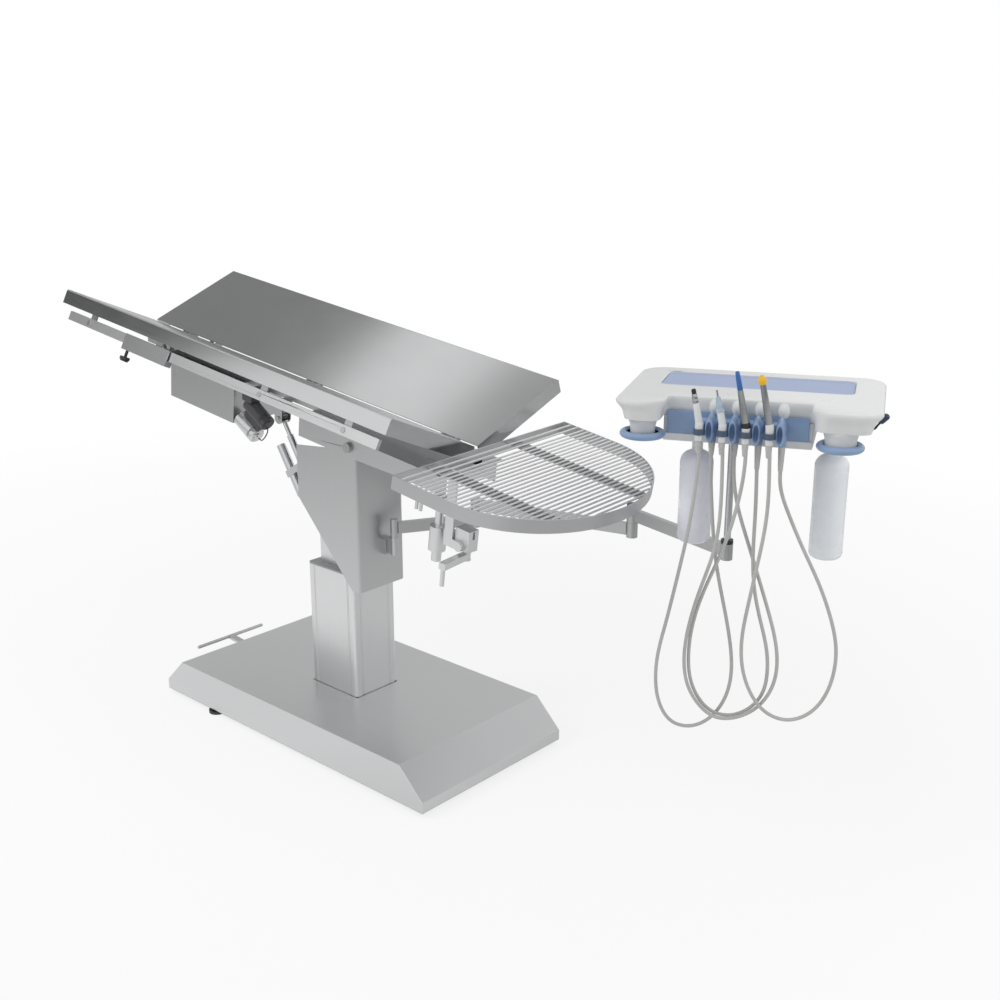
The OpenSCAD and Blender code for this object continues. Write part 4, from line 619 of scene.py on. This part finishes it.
def shield(x, z):
    """Oval 20 by 62 carried from y -62 to -112, with a rolled edge and a dish 9 mm deep."""
    steps = [(-62, 0.86), (-66, 0.95), (-78, 1.0), (-96, 0.96), (-106, 0.86), (-110.5, 0.76),
             (-112, 0.64), (-110.5, 0.53), (-107, 0.42), (-104.5, 0.28), (-103, 0.12), (-102.8, 0.01)]
    y, s = np.array(steps, float).T
    u = np.arange(44) / 44 * 2 * pi
    y, s = y[:, None], s[:, None]
    return np.stack([x + 10 * s * np.cos(u), y + 0 * u, z + 31 * s * np.sin(u)], -1)


# The darker blue of the shield's dish is painted shade in the hollow.
dish_painted_shade = coated("shield_dish_painted_shade", (0.10, 0.17, 0.31), 0.35, coat=0.2)
dark_ring = coated("cradle_ring", (0.07, 0.10, 0.16), 0.4)
ring = [(953, 10.2), (953, 12), (954, 13), (965, 13), (966, 12), (966, 10.4), (965, 9.6), (954, 9.6),
        (953, 10.2)]
connector = [(912, 4.2), (912.5, 4.8), (924, 6.2), (925, 5.6), (926.5, 5.6), (927.5, 6.8), (938, 7.0),
             (940, 6.4), (940, 4.2)]
skins, bands = [], []
for x in HOLDERS:
    parts = [blocky(-62, -26, x + 10, 957, 20, 17), spun(ring, (x, -104, 0), 40),
             blocky(-92, -60, x, 957, 5, 11, 1.5), shield(x + 21, 964),
             spun([(933, 7.2), (934, 8.4), (952, 8.4), (956, 6)], (x + 25, -80, 0), 32),
             spun(connector, (x, -104, 0), 32)]
    skins += [unit_to_table(p) for p in parts]
    bands += [np.full(len(p), slot) for p, slot in zip(parts, (0, 2, 0, 0, 0, 3))]
    # Rows from the rolled edge into the dish take the darker blue of painted shade.
    bands[-3][6:] = 1
holders = piece("holder_set", skins, [plain["blue_plastic"], dish_painted_shade, dark_ring, plain["grey_rubber"]],
                "unit", bands)
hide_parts("holder_clamps")

# %% [markdown]
# ## Instruments
# Each instrument is turned: an upright grip in its ring and, above a short joint, a head that
# leans to the left. Profiles give radius against height, and each stretch of the profile has its
# own finish. Fine grooves mark where parts screw together.

# %% Instruments
def striped(name, colour, rough, pitch, metal=0.0):
    """A turned finish with fine rings every pitch along the height."""
    material, tree, shader = finish(name)
    grain = noise(tree, (0.02, 0.02, pitch), detail=2.0)
    tint(tree, shader, colour, grain, 0.08)
    tree.links.new(spread(tree, grain, rough - 0.05, rough + 0.06), shader.inputs["Roughness"])
    shader.inputs["Metallic"].default_value = metal
    bump(tree, shader, grain, 4e-6)
    return material


tips = {
    "white": plain["white_plastic"],
    "metal": striped("turned_tip_metal", (0.42, 0.43, 0.44), 0.25, 0.0012, 1.0),
    "black": plain["black_plastic"],
    "ice": milky("pale_blue_clear_plastic", (0.62, 0.76, 0.88), 0.5),
    "body": striped("grey_handpiece_body", (0.30, 0.31, 0.315), 0.32, 0.002, 0.85),
    "blue": coated("blue_tip_moulding", (0.02, 0.13, 0.40), 0.3, coat=0.3),
    "yellow": coated("yellow_ball_moulding", (0.85, 0.50, 0.01), 0.35, coat=0.3),
}
GRIP = [(940, 0.05), (940, 8.2), (943, 9.0), (975, 9.2), (976, 9.2), (979, 8.6), (981, 7.0), (982, 0.05)]
HEADS = [
    (["white", "metal", "black"],
     [(-6, 5, 0), (-3, 8, 0), (0, 8.4, 0), (30, 7.0, 0), (44, 6.0, 0), (45, 5.2, 1), (46, 5.9, 1),
      (50, 6.4, 1), (53, 6.4, 1), (53.6, 5.9, 1), (54.4, 5.9, 1), (55, 6.3, 1), (64, 5.8, 1), (65, 4.9, 2),
      (71, 5.2, 2), (75, 4.6, 2), (76, 3.2, 2), (76, 0.05, 2)]),
    (["white", "ice", "metal"],
     [(-6, 5, 0), (-3, 8, 0), (0, 8.4, 0), (18, 8.0, 0), (28, 7.4, 0), (29, 8.6, 1), (31, 9, 1), (34, 8.8, 1),
      (36, 7.0, 1), (44, 6.6, 1), (52, 6.2, 1), (60, 5.4, 1), (62, 3.6, 1), (63, 2.2, 2), (74, 1.8, 2),
      (75, 2.4, 2), (76, 2.4, 2), (76, 0.05, 2)]),
    (["black", "body", "blue"],
     [(-5, 6, 0), (-3, 9.0, 0), (0, 10, 0), (6, 10, 0), (8, 9.2, 0), (9, 8.9, 1), (40, 7.6, 1), (78, 6.0, 1),
      (79, 5.6, 2), (81, 6.0, 2), (96, 5.6, 2), (110, 5.0, 2), (117, 4.5, 2), (119.4, 3.2, 2), (120, 0.05, 2)]),
    (["white", "body", "yellow"],
     [(-6, 5, 0), (-3, 8.6, 0), (0, 9, 0), (8, 8.8, 0), (9, 8.4, 1), (60, 6.9, 1), (93, 6.0, 1), (94, 6.6, 2),
      (97, 8.1, 2), (101, 9.0, 2), (105, 8.9, 2), (108, 7.6, 2), (110, 5.2, 2), (111, 4.4, 2),
      (113, 4.4, 2), (114, 3.6, 2), (114, 0.05, 2)]),
]
GRIP_Y, JOINT_Z = -104, 976
for i, (names, head) in enumerate(HEADS):
    x, head = HOLDERS[i], np.array(head)
    skins = [unit_to_table(spun(GRIP, (x, GRIP_Y, 0), 40)),
             unit_to_table(spun(head[:, :2], (x, GRIP_Y, JOINT_Z), 40, lean=12))]
    slots = [tips[n] for n in names] + [plain["white_plastic"]]
    bands = [np.full(len(GRIP), 3), head[:, 2].astype(int)]
    node = "instrument_%d" % (i + 1)
    tool = piece(node + "_turned", skins, slots, "unit", bands, 40)
    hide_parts(node)

# %% [markdown]
# ## Bottles
# Two blown bottles hang by their necks. The profile has a round foot, a slim waist where labels
# usually go and a round shoulder. They are full, so the profile closes on the axis at both ends.

# %% Bottles
def bottle(x, y, top, foot):
    """Profile out along the foot, up the wall, in at the neck and across its top."""
    t = np.linspace(0, pi / 2, 9)
    low = np.column_stack([foot + 14 - 14 * np.cos(t), 23 + 14 * np.sin(t)])
    high = np.column_stack([893 - 27 + 27 * np.sin(t), 10 + 27 * np.cos(t)])
    h = np.linspace(foot + 20, 860, 12)
    wall = np.column_stack([h, 37 - 0.35 * np.sin((h - foot - 20) / (840 - foot) * pi)])
    neck = [(896, 12), (top, 12), (top, 0.05)]
    outline = np.vstack([[(foot, 0.05), (foot + 2, 14)], low[1:], wall, high[:-1], neck])
    return unit_to_table(spun(outline, (x, y, 0), 64))


bottle_pair = piece("bottle_pair", [bottle(-75, -5, 916, 682), bottle(213, 45, 972, 655)],
                    [plain["clear_plastic"], lilac_bottle], "unit",
                    [1, 0], 50)
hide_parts("bottles")

# %% [markdown]
# ## Ring handles
# A thick ring goes round each stub so that the tray can be pulled about. Its section is a soft
# oval, and a thin web joins it to the stub. Both are turned from one profile.

# %% Ring handles
def handle(x, stub):
    """Section of the ring: an oval of 8 by 8 mm half axes round radius 42, then the web in to the stub."""
    t = np.linspace(radians(205), radians(-205), 40)
    ring = np.column_stack([936 + 8 * np.sin(t) * (1 - 0.12 * np.cos(t) ** 2), 42 + 8 * np.cos(t)])
    web = [(939.2, stub + 0.4), (932.8, stub + 0.4)]
    return unit_to_table(spun(np.vstack([ring[::-1], web, ring[::-1][:1]]), (x, STUB_Y, 0), 72))


rings = piece("handle_rings", [handle(x, r) for x, r in STUBS], [plain["blue_plastic"]], "unit")
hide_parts("ring_handles")

# %% [markdown]
# ## Side lever
# A thin bent rod turns in the boss at the right of the tray and ends in a dark blue knob. A small
# orange collar marks its pivot.

# %% Side lever
orange = coated("orange_collar", (0.75, 0.22, 0.03), 0.4)
rod = smooth_path([(289.3, -4, 966), (293, -4, 966), (296, -4, 967.5), (300, -4, 973), (306, -4, 981),
                   (312, -4, 989)], 0.8)
along = np.linspace(-13.5, 13.5, 22)
width = 7.5 * np.sqrt(np.clip(1 - (np.abs(along) - 6).clip(0) ** 2 / 7.5**2, 1e-4, 1))
heading = np.array([sin(radians(45)), 0, cos(radians(45))])
knob = tube(np.array([312.5, -4, 989.5]) + along[:, None] * heading, width, 28)
collar = tube(np.array([[x, -4, 966] for x in (289.2, 289.4, 292.0, 292.2)]), [4.2, 5, 5, 4.2], 28)
lever = piece("side_lever_set", [unit_to_table(g) for g in (tube(rod[1:-1], 2.4, 12), knob, collar)],
              [plain["dark_steel"], plain["dark_blue_plastic"], orange], "unit_lever",
              [0, 1, 2])
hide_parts("side_lever")

# %% [markdown]
# ## Drive unit
# Under the spine hangs a drive with two round housings side by side. The lower one is bare
# aluminium and the upper one is painted dark. Both are turned, with a seam ring near the end and a
# stepped end face. They share one plate, a block holds them to the spine, and a thin cable bows
# between their ends. They are set out along their own slanted line and then tilted with the top.

# %% Drive unit
PIVOT, TILT, SLOPE = (116.0, -6.0, 809.0), radians(7.1), radians(25.7)


def top_to_table(points):
    """Tilted top axes in millimetres (along, across, up) to table metres."""
    p = np.asarray(points, float)
    x = PIVOT[0] + p[..., 0] * cos(TILT) + p[..., 2] * sin(TILT)
    z = PIVOT[2] - p[..., 0] * sin(TILT) + p[..., 2] * cos(TILT)
    return np.stack([x, PIVOT[1] + p[..., 1], z], -1) / 1000.0


def along_drive(points, start):
    """Local height runs down the slope: along = start - x sin a + z cos a, up = start - x cos a - z sin a."""
    p = np.asarray(points, float)
    along = start[0] - p[..., 0] * sin(SLOPE) + p[..., 2] * cos(SLOPE)
    up = start[1] - p[..., 0] * cos(SLOPE) - p[..., 2] * sin(SLOPE)
    return top_to_table(np.stack([along, p[..., 1] - 66.0, up], -1))


LOWER, UPPER = (-458.0, -57.0), (-424.0, -5.0)
lower = spun([(0, 0.05), (0, 21.5), (1.5, 23), (58, 23), (59, 22.2), (61, 22.2), (62, 23), (75, 23), (77, 22),
              (80, 19), (80.5, 12), (83, 11.5), (83.5, 0.05)], (0, 0, 0), 56)
upper = spun([(0, 0.05), (0, 19.5), (1.5, 21), (66, 21), (67, 20.2), (70, 20.2), (71, 21), (89, 21),
              (90.5, 19.5), (90.5, 13), (93.5, 12), (93.8, 0.05)], (0, 0, 0), 56)
plate = blocky(4, 72, 14, 0, 27, 8, 2.0, 0.2)[:, ::-1, [0, 2, 1]]
block = blocky(-86, -24, -411, 19, 20, 16, 2.0, 0.2)
cable = smooth_path([(10, 0, 88), (12, -2, 98), (26, -6, 104), (44, -6, 100), (58, -2, 90), (62, 0, 78)], 2.0)
skins = [along_drive(lower, LOWER), along_drive(upper, UPPER), along_drive(plate, UPPER),
         top_to_table(block), along_drive(tube(cable, 1.6, 10), UPPER)]
drive = piece("drive_unit", skins,
              [plain["motor_grey"], plain["black_plastic"], steels["motor_silver"]],
              "top", [2, 0, 0, 0, 1], 40)
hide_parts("tilt_motor")

# %% [markdown]
# ## Floor and backdrop
# The floor is a wide pale plane. The camera sees it close to white, while it keeps the soft shadow
# of the table. Mirrored rays see its glow darker away from the table and towards one side, painted
# shade in what the steel mirrors. The world is white to camera and mirrored rays and softer to the
# light that falls on the table, so pale plastic doesn't wash out.

# %% Floor and world
def seen_or_mirrored(tree):
    """1 for camera, mirrored and see-through rays, else 0."""
    path = add(tree, "LightPath").outputs
    first = add(tree, "Math", [(0, path["Is Camera Ray"]), (1, path["Is Glossy Ray"])], operation="MAXIMUM")
    both = add(tree, "Math", [(0, first.outputs[0]), (1, path["Is Transmission Ray"])], operation="MAXIMUM")
    return both.outputs[0]


floor_mesh = bpy.data.meshes.new("floor")
floor_mesh.from_pydata([(-30, -30, 0), (30, -30, 0), (30, 30, 0), (-30, 30, 0)], [], [(0, 1, 2, 3)])
floor = bpy.data.objects.new("floor", floor_mesh)
bpy.context.scene.collection.objects.link(floor)
floor_finish, tree, shader = finish("pale_floor")
shader.inputs["Base Color"].default_value = (0.86, 0.86, 0.86, 1)
shader.inputs["Roughness"].default_value = 0.9
shader.inputs["Specular IOR Level"].default_value = 0.0
place = add(tree, "TexCoord").outputs["Object"]
away = add(tree, "VectorMath", [(0, place)], operation="LENGTH").outputs["Value"]
# Painted shade in reflections: for mirrored rays only, the floor's glow falls off with distance and towards one
# side.
painted_far_shade = spread(tree, away, 1.0, 0.45, 0.9, 4.6)
side = add(tree, "VectorMath", [(0, place), (1, (0.74, 0.67, 0.0))], operation="DOT_PRODUCT").outputs["Value"]
shade = add(tree, "Math", [(0, painted_far_shade), (1, spread(tree, side, 1.0, 0.72, -0.2, 0.7))], operation="MULTIPLY")
mirrored = add(tree, "LightPath").outputs["Is Glossy Ray"]
grey = add(tree, "Mix", [("Factor", mirrored), ("A", 1.0), ("B", shade.outputs[0])], data_type="FLOAT")
glow = add(tree, "Emission", [("Color", (1, 1, 1, 1)), ("Strength", grey.outputs["Result"])])
near_share = spread(tree, away, 0.8, 1.0, 1.4, 3.6)
share = add(tree, "Math", [(0, seen_or_mirrored(tree)), (1, near_share)], operation="MULTIPLY")
blend = add(tree, "MixShader", [(0, share.outputs[0]), (1, shader.outputs[0]), (2, glow.outputs[0])])
out = next(n for n in tree.nodes if n.bl_idname == "ShaderNodeOutputMaterial")
tree.links.new(blend.outputs[0], out.inputs["Surface"])
floor_mesh.materials.append(floor_finish)

world = bpy.data.worlds.new("studio")
bpy.context.scene.world = world
world.use_nodes = True
tree = world.node_tree
tree.nodes.clear()
level = spread(tree, seen_or_mirrored(tree), 0.62, 1.0, 0.0, 1.0)
sky = add(tree, "Background", [("Color", (1, 1, 1, 1)), ("Strength", level)])
tree.links.new(sky.outputs[0], add(tree, "OutputWorld").inputs["Surface"])

# %% [markdown]
# ## Lamps and flags
# Two large soft lamps give shape: one high at the left and front, one weaker from the right. Steel
# only shows what it mirrors, and in a white room it would look like paper. A photographer hangs
# grey cards, called flags, out of the picture. The steel mirrors them in long soft bands. The
# flags here are seen in mirrored rays only, and they are part of the stage.

# %% Lamps
def lamp(name, place, aim, size, watts):
    """A square soft lamp at place that faces aim."""
    data = bpy.data.lights.new(name, "AREA")
    data.size, data.energy = size, watts
    obj = bpy.data.objects.new(name, data)
    obj.location = place
    obj.rotation_euler = (Vector(aim) - Vector(place)).to_track_quat("-Z", "Y").to_euler()
    obj.visible_glossy = False
    bpy.context.scene.collection.objects.link(obj)


lamp("key_lamp", (-1.8, -2.6, 3.4), (0.1, 0, 0.7), 2.2, 75)
lamp("side_lamp", (3.2, 0.8, 2.6), (0.6, 0, 0.8), 1.8, 22)


def flag(name, corners, level):
    """A flat card with an even grey glow, seen only in mirrored rays."""
    mesh = bpy.data.meshes.new(name)
    mesh.from_pydata(corners, [], [tuple(range(len(corners)))])
    card = bpy.data.objects.new(name, mesh)
    material, tree, _ = finish(name + "_card")
    glow = add(tree, "Emission", [("Color", (level, level, level, 1)), ("Strength", 1.0)])
    out = next(n for n in tree.nodes if n.bl_idname == "ShaderNodeOutputMaterial")
    tree.links.new(glow.outputs[0], out.inputs["Surface"])
    mesh.materials.append(material)
    bpy.context.scene.collection.objects.link(card)
    card.visible_camera = card.visible_diffuse = card.visible_shadow = card.visible_transmission = False
    return card


flag("high_left_flag", [(-4.4, -0.3, 3.2), (-1.98, -0.3, 3.2), (-1.98, 2.3, 3.2), (-4.4, 2.3, 3.2)], 0.27)
flag("high_right_flag", [(-1.27, -0.3, 3.2), (0.6, -0.3, 3.2), (0.6, 2.4, 3.2), (-1.27, 2.4, 3.2)], 0.42)
flag("left_flag", [(-4, -3.35, 0.7), (-4, -1.2, 0.7), (-4, -1.2, 4.2), (-4, -3.35, 4.2)], 0.12)
flag("back_flag", [(-4, 1.4, 0.9), (-4, 9, 0.9), (-4, 9, 6), (-4, 4.6, 6), (-4, 3.2, 4.2), (-4, 1.4, 4.2)],
     0.64)
flag("right_flag", [(1.8, 2.0, 3.2), (4.2, 2.0, 3.2), (4.2, 5.2, 3.2), (1.8, 5.2, 3.2)], 0.62)
print("stage is set")

# %% [markdown]
# ## Plain colours
# The picture's colours stay plain.

# %% Plain colours
bpy.context.scene.view_settings.view_transform = "Standard"
bpy.context.view_layer.update()
